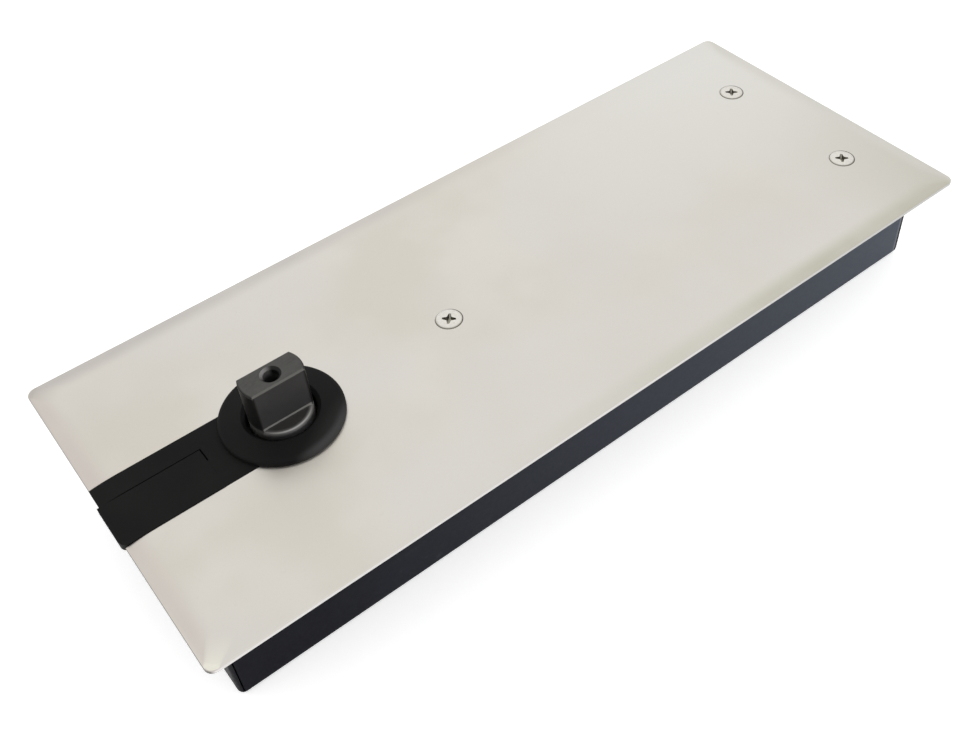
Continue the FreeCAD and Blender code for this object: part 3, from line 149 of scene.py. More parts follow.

# Collar: the sides that get a painted sheen and a painted highlight streak, and distances
# from the spindle axis in millimetres, along those ways and all round
HIGHLIGHT_WAY = (0.5, -0.866, 0)
SHEEN_REACH = (12.0, 18.0)
HIGHLIGHT_STREAK_WAY = (0.4, -0.917, 0)
HIGHLIGHT_STREAK_REACH = (14.0, 19.0)
HIGHLIGHT_STREAK_RADII = (16.6, 18.8)

# Spindle: the height of its shoulder, heights above it and depths below the top
SHOULDER_HEIGHT = 45.8 * MM
SHELF_HEIGHTS = (0.6 * MM, 0.2 * MM)
ENDS_HEIGHTS = (0.4 * MM, 1.0 * MM)
ROOT_HEIGHTS = (0.9 * MM, 0.7 * MM)
CREST_DEPTHS = (1.5 * MM, 0.9 * MM)
MOUTH_DEPTHS = (3.8 * MM, 2.1 * MM)

# Spindle: distances from its axis in millimetres
SHELF_RADII = (8.8, 8.4)
RIM_RADII = (8.6, 9.3)
ROOT_RADII = (9.7, 9.4)
ENDS_RADII = (9.3, 9.9)
MOUTH_RADII = (3.4, 3.2)
RIM_REACH = (4.5, 9.8)
RIM_LEAST = 0.08
CHAMFER_WAY = (0, -0.707, 0.707)
LIT_WALL_WAY = (0.6, -0.8, 0)

# Tints of painted shade on the rolled rim, darker reflections one per side: the way it
# faces, the stretch along the cover (m) over which the tint comes in, and its colour
ROLL_SHADE_TINTS = (
    ((0, 1, 0), (0.16, 0.0), (192, 187, 182)),
    ((-1, 0, 0), (-1.0, -0.9), (204, 196, 189)),
    ((0, -1, 0), (0.04, 0.18), (190, 188, 173)),
    ((1, 0, 0), (-1.0, -0.9), (208, 206, 198)),
)

# Painted shade on one near corner and a painted highlight on the other: the two ways that they face,
# and their colour
CORNER_LIGHT_AND_SHADE = (
    ((-1, 0, 0), (0, 1, 0), (188, 183, 176)),
    ((-1, 0, 0), (0, -1, 0), (230, 227, 215)),
)

# Broad painted light on the cover's flat, a lighter painted reflection and a darker patch of
# painted shade: the stretch along it and across it (m) over which each comes in, and its colour
FLAT_LIGHT_AND_SHADE = (
    ((0.08, 0.22), (-0.040, 0.050), (218, 216, 210)),
    ((0.19, 0.245), (0.010, -0.062), (198, 195, 185)),
)

# Lamps: name, place, aim, width (m) and watts
LAMPS = (
    ("key_lamp", (0.8, 0.9, 1.3), (0.12, 0.0, 0.03), 1.6, 0.6),
    ("right_lamp", (1.1, -0.9, 0.5), (0.2, 0.0, 0.02), 1.1, 0.5),
)

# Floor and surround
WHITE = (1.0, 1.0, 1.0, 1.0)
FLOOR_COLOUR = (0.95, 0.95, 0.95, 1.0)
FLOOR_GLOW = 0.5
FLOOR_HALF = 6.0
FLOOR_FOOT = -10 * MM
FLOOR_TOP = -0.2 * MM
SURROUND_LEVEL = 0.9


class Finish:
    """A material being made: masks and tints laid over one surface shader."""

    def __init__(self, name):
        self.material = bpy.data.materials.new(name)
        self.material.use_nodes = True
        self.nodes = self.material.node_tree.nodes
        self.links = self.material.node_tree.links
        self.shader = self.nodes["Principled BSDF"]
        self.place = self.nodes.new("ShaderNodeTexCoord").outputs["Object"]
        self.colour = None

    def fix(self, **values):
        """Constant values on the shader's own sockets."""
        for name, value in values.items():
            self.shader.inputs[name.replace("_", " ")].default_value = value

    def feed(self, name, socket):
        self.links.new(socket, self.shader.inputs[name])

    def noise(self, grain, detail=4.0, roughness=0.55, stretch=(1, 1, 1)):
        """Noise whose grains are about so many millimetres wide."""
        mapping = self.nodes.new("ShaderNodeMapping")
        mapping.inputs["Scale"].default_value = stretch
        self.links.new(self.place, mapping.inputs["Vector"])
        texture = self.nodes.new("ShaderNodeTexNoise")
        texture.inputs["Scale"].default_value = 1 / (grain * MM)
        texture.inputs["Detail"].default_value = detail
        texture.inputs["Roughness"].default_value = roughness
        self.links.new(mapping.outputs["Vector"], texture.inputs["Vector"])
        return texture.outputs["Fac"]

    def span(self, socket, low, high, to_low, to_high, smooth=False):
        """A value moved from one range to another, and held at its ends."""
        node = self.nodes.new("ShaderNodeMapRange")
        node.interpolation_type = "SMOOTHSTEP" if smooth else "LINEAR"
        limits = {"From Min": low, "From Max": high, "To Min": to_low, "To Max": to_high}
        for name, value in limits.items():
            node.inputs[name].default_value = value
        self.links.new(socket, node.inputs["Value"])
        return node.outputs["Result"]

    def ramp(self, socket, empty_at, full_at, full=1.0, smooth=False):
        """A mask that is empty up to one value and full from the other."""
        return self.span(socket, empty_at, full_at, 0.0, full, smooth)

    def math(self, kind, first, second):
        node = self.nodes.new("ShaderNodeMath")
        node.operation = kind
        for index, value in enumerate((first, second)):
            if isinstance(value, (int, float)):
                node.inputs[index].default_value = value
            else:
                self.links.new(value, node.inputs[index])
        return node.outputs["Value"]

    def overlap(self, first, *others):
        """A mask that is high only where all the masks are."""
        for other in others:
            first = self.math("MULTIPLY", first, other)
        return first

    def mix(self, share, first, second):
        """Two colours mixed by a share. Each is a screen colour or a socket."""
        node = self.nodes.new("ShaderNodeMix")
        node.data_type = "RGBA"
        self.links.new(share, node.inputs["Factor"])
        for name, colour in (("A", first), ("B", second)):
            socket = [item for item in node.inputs if item.name == name and item.type == "RGBA"][0]
            if isinstance(colour, tuple):
                socket.default_value = (*linear(*colour), 1.0)
            else:
                self.links.new(colour, socket)
        return [item for item in node.outputs if item.type == "RGBA"][0]

    def tint(self, mask, colour):
        """Lay a colour over the colour so far, where the mask is high."""
        self.colour = self.mix(mask, self.colour, colour)

    def bump(self, height, depth, strength=1.0):
        """Bump of so many millimetres between the height's low and high ends."""
        node = self.nodes.new("ShaderNodeBump")
        node.inputs["Strength"].default_value = strength
        node.inputs["Distance"].default_value = depth * MM
        self.links.new(height, node.inputs["Height"])
        self.feed("Normal", node.outputs["Normal"])

    def vector(self, kind, first, second=None):
        """One vector step. The second vector may be a socket or numbers."""
        node = self.nodes.new("ShaderNodeVectorMath")
        node.operation = kind
        self.links.new(first, node.inputs[0])
        if isinstance(second, tuple):
            node.inputs[1].default_value = second
        elif second is not None:
            self.links.new(second, node.inputs[1])
        return node.outputs["Vector" if kind == "MULTIPLY" else "Value"]

    def normal(self):
        return self.nodes.new("ShaderNodeNewGeometry").outputs["Normal"]

    def edge(self, reach):
        """A mask that is high along edges, about so many millimetres wide."""
        rounded = self.nodes.new("ShaderNodeBevel")
        rounded.samples = EDGE_SAMPLES
        rounded.inputs["Radius"].default_value = reach * MM
        likeness = self.vector("DOT_PRODUCT", rounded.outputs["Normal"], self.normal())
        return self.ramp(likeness, *EDGE_FACING)

    def facing(self, x, y, z):
        """How far the surface faces one way: 1 where it faces it squarely."""
        return self.vector("DOT_PRODUCT", self.normal(), (x, y, z))

    def reach(self):
        """The distance from the piece's upright axis, in millimetres."""
        return self.vector("LENGTH", self.vector("MULTIPLY", self.place, (1 / MM, 1 / MM, 0)))

    def toward(self, x, y, z):
        """How far out the place lies one way, in millimetres."""
        return self.vector("DOT_PRODUCT", self.place, (x / MM, y / MM, z / MM))

    def along(self, axis):
        """The place along one axis of the piece, in metres."""
        parts = self.nodes.new("ShaderNodeSeparateXYZ")
        self.links.new(self.place, parts.inputs["Vector"])
        return parts.outputs[axis]


def linear(red, green, blue):
    """A screen colour of 0 to 255 as linear light."""
    def channel(value):
        value /= 255
        return value / 12.92 if value <= 0.04045 else ((value + 0.055) / 1.055) ** 2.4
    return (channel(red), channel(green), channel(blue))


def shifted(level, stretch, sign=1):
    """A pair of distances as places above a level, or below it for a sign of -1."""
    return [level + sign * distance for distance in stretch]


def satin_cover(name):
    """Satin stainless sheet: fine pressing grain, faint cloudiness, painted shade on the rolled rim,
    and painted light on the flat, the near corners and the cut edge.
    """
    finish = Finish(name)
    cloud = finish.ramp(finish.noise(45, 3, 0.5), 0.35, 0.65, smooth=True)
    finish.colour = finish.mix(cloud, (208, 203, 193), (214, 210, 202))
    cool = finish.ramp(finish.noise(70, 2, 0.5), 0.4, 0.6, 0.7, smooth=True)
    finish.tint(cool, (211, 208, 202))
    speck = finish.ramp(finish.noise(1.4, 5, 0.7), 0.60, 0.78, 0.35)
    finish.tint(speck, (197, 193, 183))
    # Painted reflection and painted shade: a lighter and a darker broad patch on the flat
    for lengthwise, crosswise, colour in FLAT_LIGHT_AND_SHADE:
        reached = finish.ramp(finish.along("X"), *lengthwise, smooth=True)
        aside = finish.ramp(finish.along("Y"), *crosswise)
        finish.tint(finish.overlap(reached, aside), colour)
    # Painted shade: darker reflections painted on each side of the rolled rim, broken up by noise
    for way, lengthwise, colour in ROLL_SHADE_TINTS:
        rolled = finish.ramp(finish.facing(*way), *ROLL_FACING, smooth=True)
        reached = finish.ramp(finish.along("X"), *lengthwise)
        patchy = finish.span(finish.noise(22, 2, 0.5), 0.3, 0.6, 0.6, 1.0)
        finish.tint(finish.overlap(rolled, reached, patchy), colour)
    paint_cover_edge_light(finish)
    finish.feed("Base Color", finish.colour)
    grain = finish.noise(0.35, 3, 0.6)
    finish.feed("Roughness", finish.span(grain, *MOST_NOISE, 0.30, 0.40))
    finish.fix(Metallic=1.0, Anisotropic=0.15)
    finish.bump(grain, 0.004, 0.5)
    return finish.material


def paint_cover_edge_light(finish):
    """Painted light on the near corners and the sheet's cut edge: painted shade and a painted
    highlight on the corners, a painted reflection on the cut edge, and painted shade on it at the
    near end, where it is darkest.
    """
    level = finish.ramp(finish.facing(0, 0, 1), *LEVEL_FACING)
    # Painted shade on the near corner towards +Y, a painted highlight on the one towards -Y
    for one_way, other_way, colour in CORNER_LIGHT_AND_SHADE:
        both_ways = finish.math("MULTIPLY", finish.facing(*one_way), finish.facing(*other_way))
        diagonal = finish.ramp(both_ways, *CORNER_FACING)
        outward = finish.ramp(finish.facing(*one_way), *OUTWARD_FACING)
        finish.tint(finish.overlap(diagonal, level, outward), colour)
    # Painted reflection on the cut edge, lighter at the near end and dimmer towards the far end
    cut_edge = finish.ramp(finish.facing(0, 0, 1), *CUT_EDGE_FACING)
    far = finish.ramp(finish.along("X"), *CUT_EDGE_FADE)
    finish.tint(cut_edge, finish.mix(far, (207, 204, 202), (176, 175, 172)))
    # Painted shade on the cut edge at the near end
    near_cut = finish.ramp(finish.facing(-1, 0, 0), *NEAR_CUT_FACING)
    finish.tint(near_cut, (108, 105, 101))


def plated_screw(name):
    """Bright screw head with painted shade down in the recess and on the near side of its rim."""
    finish = Finish(name)
    wear = finish.ramp(finish.noise(0.8, 4, 0.6), *MOST_NOISE)
    finish.colour = finish.mix(wear, (208, 205, 197), (227, 224, 217))
    head_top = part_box("cover_screws")[1].z
    # Painted shade down in the cross recess
    sunk = finish.ramp(finish.along("Z"), *shifted(head_top, RECESS_SHADE_DEPTHS, -1))
    finish.tint(sunk, (150, 146, 134))
    # Painted shade on the near side of the head's rounded rim
    near_rim = finish.ramp(finish.facing(*SHADED_RIM_WAY), *NEAR_RIM_FACING)
    tipped = finish.ramp(finish.facing(0, 0, 1), *HEAD_RIM_FACING)
    finish.tint(finish.overlap(near_rim, tipped), (140, 137, 128))
    finish.feed("Base Color", finish.colour)
    finish.feed("Roughness", finish.span(wear, 0.0, 1.0, 0.24, 0.36))
    finish.fix(Metallic=1.0)
    finish.bump(finish.noise(0.25, 2), 0.006, 0.6)
    return finish.material


def black_moulding(name):
    """Matt black polymer with a fine spark-eroded grain, and a painted sheen and painted highlight
    streak on the collar's near side.
    """
    finish = Finish(name)
    cloud = finish.ramp(finish.noise(14, 3, 0.5), *MOST_NOISE)
    finish.colour = finish.mix(cloud, (12, 12, 12), (18, 18, 17))
    scuff = finish.ramp(finish.noise(5, 6, 0.75, stretch=(1, 4, 4)), 0.66, 0.74, 0.4)
    finish.tint(scuff, (32, 32, 32))
    # Painted sheen on the collar's near side
    painted_highlight = finish.ramp(finish.toward(*HIGHLIGHT_WAY), *SHEEN_REACH, smooth=True)
    finish.tint(painted_highlight, (34, 34, 33))
    # Painted highlight streak along the collar's outer rounding
    streak = finish.overlap(finish.ramp(finish.reach(), *HIGHLIGHT_STREAK_RADII, smooth=True),
                            finish.ramp(finish.toward(*HIGHLIGHT_STREAK_WAY), *HIGHLIGHT_STREAK_REACH, smooth=True))
    finish.tint(streak, (62, 62, 62))
    finish.feed("Base Color", finish.colour)
    grain = finish.noise(0.22, 2, 0.6)
    finish.feed("Roughness", finish.span(grain, *MOST_NOISE, 0.52, 0.68))
    finish.fix(Specular_IOR_Level=0.12)
    finish.bump(grain, 0.02, 0.55)
    return finish.material


def box_paint(name):
    """Blue-black stove enamel on folded sheet, with a painted reflection growing lighter towards the
    far end, a painted highlight on the far bend, a darker far strip and painted shade on the end
    faces.
    """
    finish = Finish(name)
    far_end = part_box("cement_box")[1].x
    # Painted reflection, growing lighter towards the far end
    far_reflection = finish.math("POWER", finish.ramp(finish.along("X"), *REFLECTION_STRETCH), REFLECTION_POWER)
    cloud = finish.ramp(finish.noise(30, 4, 0.6), *MOST_NOISE)
    finish.colour = finish.mix(cloud, (12, 12, 19), (17, 18, 26))
    finish.tint(far_reflection, (73, 78, 87))
    # Painted highlight along the bend at the far end
    bend_highlight = finish.ramp(finish.along("X"), *shifted(far_end, BEND_HIGHLIGHT_INSET, -1))
    finish.tint(bend_highlight, (104, 108, 116))
    # Painted shade on the face towards -X
    shaded_near_face = finish.ramp(finish.facing(-1, 0, 0), *SQUARE_ON)
    finish.tint(shaded_near_face, (22, 22, 25))
    # Darker strip over the last millimetres of the far end
    far_dark_strip = finish.ramp(finish.along("X"), *shifted(far_end, DARK_STRIP_INSET, -1))
    finish.tint(far_dark_strip, (9, 9, 11))
    # Painted shade on the face towards +X
    shaded_far_face = finish.ramp(finish.facing(1, 0, 0), *SQUARE_ON)
    finish.tint(shaded_far_face, (40, 43, 50))
    scuff = finish.ramp(finish.noise(9, 6, 0.75), 0.62, 0.72, 0.35)
    finish.tint(scuff, (58, 60, 66))
    finish.feed("Base Color", finish.colour)
    peel = finish.noise(1.1, 2, 0.5)
    finish.feed("Roughness", finish.span(peel, *MOST_NOISE, 0.40, 0.50))
    finish.fix(Specular_IOR_Level=0.035)
    finish.bump(peel, 0.02, 0.35)
    return finish.material


def blued_spindle(name):
    """Dark heat-treated steel: milled flats, turned ends, painted shade on the front flat, the round
    ends and the shelf, and painted highlights on the top edges, the shoulder and the hole's mouth.
    """
    finish = Finish(name)
    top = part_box("spindle")[1].z
    cloud = finish.ramp(finish.noise(3.5, 5, 0.65), *MOST_NOISE)
    finish.colour = finish.mix(cloud, (68, 67, 65), (84, 83, 80))
    streak = finish.ramp(finish.noise(0.6, 3, 0.6, stretch=(0.3, 1, 1)), 0.35, 0.7, 0.35)
    finish.tint(streak, (91, 90, 87))
    # Painted shade on the flat facing -Y, deepest towards its top
    flat = finish.ramp(finish.facing(0, -1, 0), *SQUARE_ON, 0.7)
    lower = finish.ramp(finish.along("Z"), top, SHOULDER_HEIGHT)
    finish.tint(flat, finish.mix(lower, (60, 59, 62), (74, 73, 75)))
    paint_end_shade(finish)
    paint_crest_highlight(finish, top)
    paint_shoulder_shade_and_highlights(finish)
    tint_mouth(finish, top)
    finish.feed("Base Color", finish.colour)
    finish.feed("Roughness", finish.span(cloud, 0.0, 1.0, 0.5, 0.6))
    finish.fix(Metallic=0.65)
    finish.bump(streak, 0.01, 0.5)
    return finish.material


def paint_end_shade(finish):
    """Painted shade: the tongue's round ends are painted darker than its milled flats."""
    raised = finish.ramp(finish.along("Z"), *shifted(SHOULDER_HEIGHT, ENDS_HEIGHTS))
    ends = finish.overlap(finish.ramp(finish.reach(), *ENDS_RADII), raised)
    finish.tint(ends, (20, 19, 18))


def paint_crest_highlight(finish, top):
    """Painted highlight: the tongue's top edges are painted lighter, most of all the chamfer towards
    -Y.
    """
    crest = finish.ramp(finish.along("Z"), *shifted(top, CREST_DEPTHS, -1))
    chamfer = finish.ramp(finish.facing(*CHAMFER_WAY), *CHAMFER_FACING)
    painted_highlight = finish.math("MAXIMUM", finish.edge(0.3), chamfer)
    finish.tint(finish.overlap(painted_highlight, crest), (98, 97, 93))


def paint_shoulder_shade_and_highlights(finish):
    """Painted shade on the shelf, a painted highlight on its rim, and a painted highlight line where
    the flat meets it.
    """
    height, out = finish.along("Z"), finish.reach()
    low = finish.ramp(height, *shifted(SHOULDER_HEIGHT, SHELF_HEIGHTS))
    shelf = finish.overlap(low, finish.ramp(out, *SHELF_RADII, 0.8))
    # Painted shade on the shelf
    finish.tint(shelf, (58, 57, 55))
    rim = finish.math("MAXIMUM", finish.edge(0.6), finish.ramp(out, *RIM_RADII, 0.22))
    painted_highlight = finish.span(finish.toward(*HIGHLIGHT_WAY), *RIM_REACH, RIM_LEAST, 1.0, smooth=True)
    # Painted highlight on the shoulder's rim, strongest towards the highlight way
    finish.tint(finish.overlap(rim, painted_highlight, low), (168, 166, 164))
    root = finish.overlap(finish.ramp(height, *shifted(SHOULDER_HEIGHT, ROOT_HEIGHTS)),
                          finish.ramp(finish.facing(0, -1, 0), *FLAT_ROOT_FACING),
                          finish.ramp(out, *ROOT_RADII))
    # Painted highlight line along the root of the flat
    finish.tint(root, (172, 171, 168))


def tint_mouth(finish, top):
    """The hole's mouth in the tongue is lit on one side and dark on the other."""
    mouth = finish.overlap(finish.ramp(finish.reach(), *MOUTH_RADII),
                           finish.ramp(finish.along("Z"), *shifted(top, MOUTH_DEPTHS, -1)))
    lit = finish.ramp(finish.facing(*LIT_WALL_WAY), *LIT_WALL_FACING, smooth=True)
    finish.tint(mouth, finish.mix(lit, (30, 30, 29), (140, 138, 137)))


def rough_casting(name):
    """Grey painted iron casting with a sandy skin."""
    finish = Finish(name)
    cloud = finish.ramp(finish.noise(12, 5, 0.6), *MOST_NOISE)
    finish.colour = finish.mix(cloud, (92, 94, 96), (118, 120, 121))
    finish.tint(finish.edge(0.8), (146, 146, 144))
    finish.feed("Base Color", finish.colour)
    sand = finish.noise(0.9, 5, 0.7)
    finish.feed("Roughness", finish.span(sand, *MOST_NOISE, 0.55, 0.75))
    finish.bump(sand, 0.12, 0.7)
    return finish.material


def zinc_sheet(name):
    """Zinc-plated sheet and fasteners, faintly spangled."""
    finish = Finish(name)
    spangle = finish.ramp(finish.noise(3, 4, 0.6), *MOST_NOISE)
    finish.feed("Base Color", finish.mix(spangle, (168, 170, 172), (196, 197, 198)))
    finish.feed("Roughness", finish.span(spangle, 0.0, 1.0, 0.3, 0.42))
    finish.fix(Metallic=1.0)
    finish.bump(finish.noise(0.6, 3), 0.01, 0.4)
    return finish.material


def machined_steel(name, dark, light, low_rough, high_rough):
    """Turned or ground steel with fine tool lines and worn lighter edges."""
    finish = Finish(name)
    lines = finish.ramp(finish.noise(0.3, 3, 0.6, stretch=(1, 1, 0.15)), *MOST_NOISE)
    finish.colour = finish.mix(lines, dark, light)
    finish.tint(finish.edge(0.25), (214, 213, 209))
    finish.feed("Base Color", finish.colour)
    finish.feed("Roughness", finish.span(lines, 0.0, 1.0, low_rough, high_rough))
    finish.fix(Metallic=1.0)
    finish.bump(lines, 0.004, 0.5)
    return finish.material


def dark_steel(name):
    return machined_steel(name, (62, 61, 60), (86, 85, 83), 0.34, 0.5)


def bearing_steel(name):
    return machined_steel(name, (196, 197, 198), (216, 217, 218), 0.14, 0.24)


def ground_steel(name):
    return machined_steel(name, (170, 170, 168), (196, 196, 193), 0.22, 0.34)


def spring_steel(name):
    return machined_steel(name, (58, 64, 76), (84, 88, 96), 0.3, 0.45)


def brass(name):
    return machined_steel(name, (180, 148, 92), (208, 176, 118), 0.24, 0.36)


def rubber(name):
    """Black seal rubber with a soft bloom."""
    finish = Finish(name)
    bloom = finish.ramp(finish.noise(2.5, 4, 0.6), 0.35, 0.7)
    finish.feed("Base Color", finish.mix(bloom, (22, 22, 22), (40, 40, 41)))
    finish.feed("Roughness", finish.span(bloom, 0.0, 1.0, 0.6, 0.8))
    finish.fix(Specular_IOR_Level=0.3)
    finish.bump(finish.noise(0.3, 2), 0.01, 0.4)
    return finish.material


FINISHES = {
    "cover_steel": satin_cover,
    "screw_steel": plated_screw,
    "black_moulding": black_moulding,
    "box_paint": box_paint,
    "spindle_steel": blued_spindle,
    "cast_body": rough_casting,
    "zinc_steel": zinc_sheet,
    "dark_steel": dark_steel,
    "bearing_steel": bearing_steel,
    "ground_steel": ground_steel,
    "spring_steel": spring_steel,
    "brass_washer": brass,
    "rubber": rubber,
}


def make_finishes():
    return {slot: make(slot + "_finish") for slot, make in FINISHES.items()}


def coat(piece, finish, sharp_angle=SHARP_ANGLE):
    """Give a piece its one finish, and smooth shading between its sharp edges."""
    piece.data.materials.clear()
    piece.data.materials.append(finish)
    for face in piece.data.polygons:
        face.use_smooth = True
    piece.data.set_sharp_from_angle(angle=math.radians(sharp_angle))


def new_piece(name, model):
    """A piece from a model, with its faces turned outward."""
    bmesh.ops.recalc_face_normals(model, faces=model.faces)
    mesh = bpy.data.meshes.new(name)
    model.to_mesh(mesh)
    model.free()
    piece = bpy.data.objects.new(name, mesh)
    bpy.context.scene.collection.objects.link(piece)
    return piece


def skin(name, rings):
    """A closed solid through rings of as many points, with its two ends capped."""
    model = bmesh.new()
    rings = [[model.verts.new(point) for point in ring] for ring in rings]
    for first, second in zip(rings, rings[1:]):
        join_rings(model, first, second)
    model.faces.new(list(reversed(rings[0])))
    model.faces.new(rings[-1])
    return new_piece(name, model)


def prism(name, outline, low, high):
    """An upright solid over an outline of (x, y) points."""
    return skin(name, [[(x, y, height) for x, y in outline] for height in (low, high)])


def join_rings(model, first, second):
    count = len(first)
    for index in range(count):
        following = (index + 1) % count
        model.faces.new((first[index], first[following], second[following], second[index]))


def fan(model, tip, ring):
    for index in range(len(ring)):
        model.faces.new((tip, ring[index], ring[(index + 1) % len(ring)]))


def lathe(name, profile, centre, steps=TURNED_STEPS):
    """A closed solid turned about an upright axis from (radius, height) points."""
    model = bmesh.new()
    rings = []
    for radius, height in profile:
        ring = []
        for step in range(steps if radius else 1):
            angle = 2 * math.pi * step / steps
            ring.append(model.verts.new((centre[0] + radius * math.cos(angle),
                                         centre[1] + radius * math.sin(angle), height)))
        rings.append(ring)
    for first, second in zip(rings, rings[1:]):
        if len(first) == 1:
            fan(model, first[0], second)
        elif len(second) == 1:
            fan(model, second[0], first)
        else:
            join_rings(model, first, second)
    return new_piece(name, model)


def cut(piece, tool, operation="DIFFERENCE"):
    """Apply one exact boolean and take the tool away."""
    modifier = piece.modifiers.new("cut", "BOOLEAN")
    modifier.operation = operation
    modifier.solver = "EXACT"
    modifier.object = tool
    bake(piece)
    bpy.data.objects.remove(tool)


def bake(piece):
    """Put a piece's modifiers into its mesh."""
    bpy.context.view_layer.update()
    ready = piece.evaluated_get(bpy.context.evaluated_depsgraph_get())
    mesh = bpy.data.meshes.new_from_object(ready)
    piece.modifiers.clear()
    piece.data = mesh


def rounded_rectangle(low, high, inset, radius):
    """Points of a rectangle with round corners, anticlockwise."""
    points = []
    corners = ((high.x, high.y, 0), (low.x, high.y, 90), (low.x, low.y, 180), (high.x, low.y, 270))
    for x, y, start in corners:
        side_x = 1 if x > (low.x + high.x) / 2 else -1
        side_y = 1 if y > (low.y + high.y) / 2 else -1
        centre_x = x - side_x * (inset + radius)
        centre_y = y - side_y * (inset + radius)
        for step in range(CORNER_STEPS + 1):
            angle = math.radians(start + 90 * step / CORNER_STEPS)
            points.append((centre_x + radius * math.cos(angle), centre_y + radius * math.sin(angle)))
    return points


def plate_levels(edge_height):
    """Insets and heights of the top skin: the rounded cut edge, then the roll up to the flat."""
    rounding, roll = [], []
    for step in range(EDGE_STEPS + 1):
        angle = math.pi / 2 * step / EDGE_STEPS
        rounding.append((EDGE_ROUNDING * (1 - math.sin(angle)),
                         edge_height - EDGE_ROUNDING * (1 - math.cos(angle))))
    for step in range(1, RIM_STEPS + 1):
        share = step / RIM_STEPS
        roll.append((share * RIM_RUN, edge_height + RIM_DROP * (1 - (1 - share) ** 2)))
    return rounding[::-1], roll


def plate_blank(name, low, high, edge_height):
    """The pressed sheet before its holes: under skin, cut edge and top skin."""
    rounding, roll = plate_levels(edge_height)
    under = [(inset, height - SHEET) for inset, height in reversed(roll)]
    rings = []
    for inset, height in under + [(0.0, edge_height - SHEET)] + rounding + roll:
        outline = rounded_rectangle(low, high, inset, CORNER_RADIUS + CORNER_GROWTH * inset)
        rings.append([(x, y, height) for x, y in outline])
    return skin(name, rings)


def slot_outline(near):
    """The open slot: straight sides from the near end to a round end about the spindle."""
    meet = math.acos(-math.sqrt(SLOT_END_RADIUS ** 2 - SLOT_HALF ** 2) / SLOT_END_RADIUS)
    points = [(near, -SLOT_HALF)]
    for step in range(SLOT_STEPS + 1):
        angle = -meet + 2 * meet * step / SLOT_STEPS
        points.append((SLOT_END_RADIUS * math.cos(angle), SLOT_END_RADIUS * math.sin(angle)))
    points.append((near, SLOT_HALF))
    return points


def middle_of(values):
    return (min(values) + max(values)) / 2


def screw_places():
    """The three cover screws' axes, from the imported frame."""
    points = [vertex.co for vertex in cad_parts["cover_screws"].data.vertices]
    split = middle_of([point.x for point in points])
    groups = ([point for point in points if point.x < split],
              [point for point in points if point.x >= split and point.y > 0],
              [point for point in points if point.x >= split and point.y <= 0])
    return [(middle_of([point.x for point in group]), middle_of([point.y for point in group]))
            for group in groups]


def make_cover(finishes):
    """Cover plate with a smooth roll-down, in place of the stepped sheet."""
    low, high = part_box("cover_plate")
    flat_top = high.z
    cover = plate_blank("cover_skin", low, high, flat_top - RIM_DROP)
    places = screw_places()
    outer = HEAD_RADIUS + DIMPLE_WALL
    middle = flat_top - SHEET / 2
    for place in places:
        boss = lathe("dimple", [(0, low.z), (outer, low.z), (outer, middle), (0, middle)], place)
        cut(cover, boss, "UNION")
    cut(cover, prism("slot_tool", slot_outline(low.x - RIM_RUN), low.z - SHEET, flat_top + SHEET))
    cone_foot = flat_top - (HEAD_RADIUS - SHANK_RADIUS)
    wide = HEAD_RADIUS + SCREW_CLEARANCE
    narrow = SHANK_RADIUS + SCREW_CLEARANCE
    sink = [(0, low.z - SHEET), (narrow, low.z - SHEET), (narrow, cone_foot),
            (wide, flat_top), (wide + SHEET, flat_top + SHEET), (0, flat_top + SHEET)]
    for place in places:
        cut(cover, lathe("sink_tool", sink, place))
    coat(cover, finishes["cover_steel"], COVER_SHARP_ANGLE)
    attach(cover, "casing")
    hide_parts("cover_plate")


def cross_tool(place, top):
    """A cross recess that narrows towards its foot."""
    rings = []
    for height, share in ((top + RECESS_HALF, RECESS_FLARE), (top - RECESS_DEPTH, RECESS_TAPER)):
        narrowing = (1 + share) / 2
        arm, half, tip = RECESS_ARM * share, RECESS_HALF * narrowing, RECESS_TIP * narrowing
        outline = []
        for quarter in range(4):
            turn = Matrix.Rotation(math.radians(90 * quarter) + SCREW_TURN, 2)
            outline += [turn @ Vector(point) for point in ((arm, -tip), (arm, tip), (half, half))]
        rings.append([(place[0] + x, place[1] + y, height) for x, y in outline])
    return skin("cross_tool", rings)


def make_screws(finishes):
    """Countersunk cross-recess screws with a softened head edge."""
    low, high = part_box("cover_screws")
    top = high.z
    band_foot = top - HEAD_BAND
    bend = HEAD_EDGE_BEND * HEAD_EDGE
    profile = [(0, low.z), (SHANK_RADIUS - SHANK_TIP, low.z), (SHANK_RADIUS, low.z + SHANK_TIP),
               (SHANK_RADIUS, band_foot - (HEAD_RADIUS - SHANK_RADIUS)), (HEAD_RADIUS, band_foot),
               (HEAD_RADIUS, top - HEAD_EDGE), (HEAD_RADIUS - bend, top - bend),
               (HEAD_RADIUS - HEAD_EDGE, top), (0, top)]
    for index, place in enumerate(screw_places()):
        screw = lathe("cover_screw_%d" % (index + 1), profile, place, HEAD_STEPS)
        cut(screw, cross_tool(place, top))
        coat(screw, finishes["screw_steel"])
        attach(screw, "casing")
        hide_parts("cover_screws")


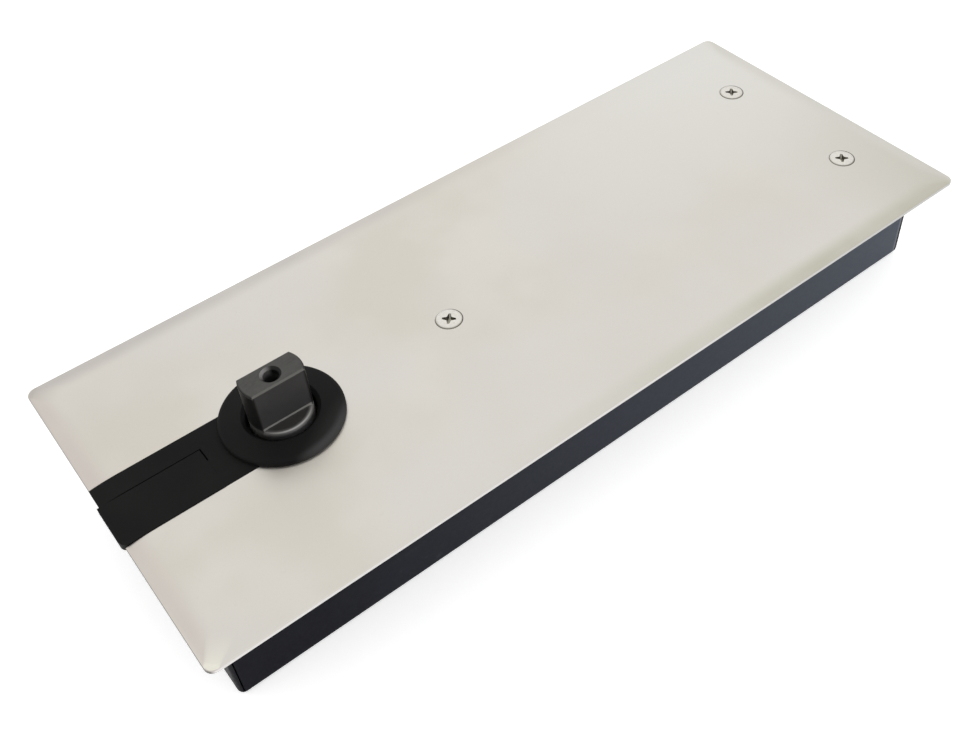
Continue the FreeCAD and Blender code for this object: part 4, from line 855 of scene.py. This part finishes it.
def make_spring(finishes):
    """Closing spring as its own mesh."""
    low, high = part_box("main_spring")
    axis_height = (low.z + high.z) / 2
    middle = (high.z - low.z) / 2 - WIRE_RADIAL / 2
    sections = []
    count = SPRING_TURNS * SPRING_STEPS
    for step in range(count + 1):
        angle = 2 * math.pi * step / SPRING_STEPS
        along = low.x + WIRE_AXIAL / 2 + (high.x - low.x - WIRE_AXIAL) * step / count
        section = []
        for out, ahead in ((-1, -1), (1, -1), (1, 1), (-1, 1)):
            radius = middle + out * WIRE_RADIAL / 2
            section.append((along + ahead * WIRE_AXIAL / 2, -radius * math.sin(angle),
                            axis_height + radius * math.cos(angle)))
        sections.append(section)
    spring = skin("spring_wire", sections)
    coat(spring, finishes["spring_steel"])
    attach(spring, "casing")
    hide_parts("main_spring")
    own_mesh(spring)


def dress_nodes(finishes):
    """Give each CAD node the finish of its slot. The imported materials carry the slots' names."""
    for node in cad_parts.values():
        for holder in node.material_slots:
            holder.material = finishes[holder.material.name]


def floor_finish():
    """White floor that keeps the shadow under the box."""
    finish = Finish("floor_finish")
    finish.fix(Base_Color=FLOOR_COLOUR, Roughness=0.9, Specular_IOR_Level=0.1,
               Emission_Color=WHITE, Emission_Strength=FLOOR_GLOW)
    return finish.material


def make_floor():
    corners = [(-FLOOR_HALF, -FLOOR_HALF), (FLOOR_HALF, -FLOOR_HALF),
               (FLOOR_HALF, FLOOR_HALF), (-FLOOR_HALF, FLOOR_HALF)]
    floor = prism("floor", corners, FLOOR_FOOT, FLOOR_TOP)
    floor.data.materials.append(floor_finish())


def make_surround():
    """A plain surround that looks pure white to the camera, in metal and through glass."""
    world = bpy.data.worlds.new("surround")
    bpy.context.scene.world = world
    world.use_nodes = True
    nodes, links = world.node_tree.nodes, world.node_tree.links
    lighting = nodes["Background"]
    lighting.inputs["Color"].default_value = WHITE
    lighting.inputs["Strength"].default_value = SURROUND_LEVEL
    backdrop = nodes.new("ShaderNodeBackground")
    backdrop.inputs["Color"].default_value = WHITE
    path = nodes.new("ShaderNodeLightPath")
    seen = path.outputs["Is Camera Ray"]
    for ray in ("Is Glossy Ray", "Is Transmission Ray"):
        either = nodes.new("ShaderNodeMath")
        either.operation = "MAXIMUM"
        links.new(seen, either.inputs[0])
        links.new(path.outputs[ray], either.inputs[1])
        seen = either.outputs["Value"]
    mix = nodes.new("ShaderNodeMixShader")
    links.new(seen, mix.inputs["Fac"])
    links.new(lighting.outputs["Background"], mix.inputs[1])
    links.new(backdrop.outputs["Background"], mix.inputs[2])
    links.new(mix.outputs["Shader"], nodes["World Output"].inputs["Surface"])


def make_lamps():
    for name, place, aim, width, watts in LAMPS:
        data = bpy.data.lights.new(name, "AREA")
        data.shape = "SQUARE"
        data.size = width
        data.energy = watts
        lamp = bpy.data.objects.new(name, data)
        lamp.location = place
        lamp.rotation_euler = (Vector(aim) - Vector(place)).to_track_quat("-Z", "Y").to_euler()
        bpy.context.scene.collection.objects.link(lamp)


def make_camera():
    data = bpy.data.cameras.new("camera")
    data.sensor_width = CAMERA_SENSOR
    data.lens = CAMERA_LENS
    data.shift_x, data.shift_y = CAMERA_SHIFT
    data.clip_start = CAMERA_NEAREST
    camera = bpy.data.objects.new("camera", data)
    camera.location = CAMERA_PLACE
    camera.rotation_euler = Euler([math.radians(angle) for angle in CAMERA_TURN])
    bpy.context.scene.collection.objects.link(camera)
    bpy.context.scene.camera = camera
    bpy.context.scene.view_settings.view_transform = "Standard"


finishes = make_finishes()
dress_nodes(finishes)
make_cover(finishes)
make_screws(finishes)
make_spring(finishes)
make_floor()
make_surround()
make_lamps()
make_camera()
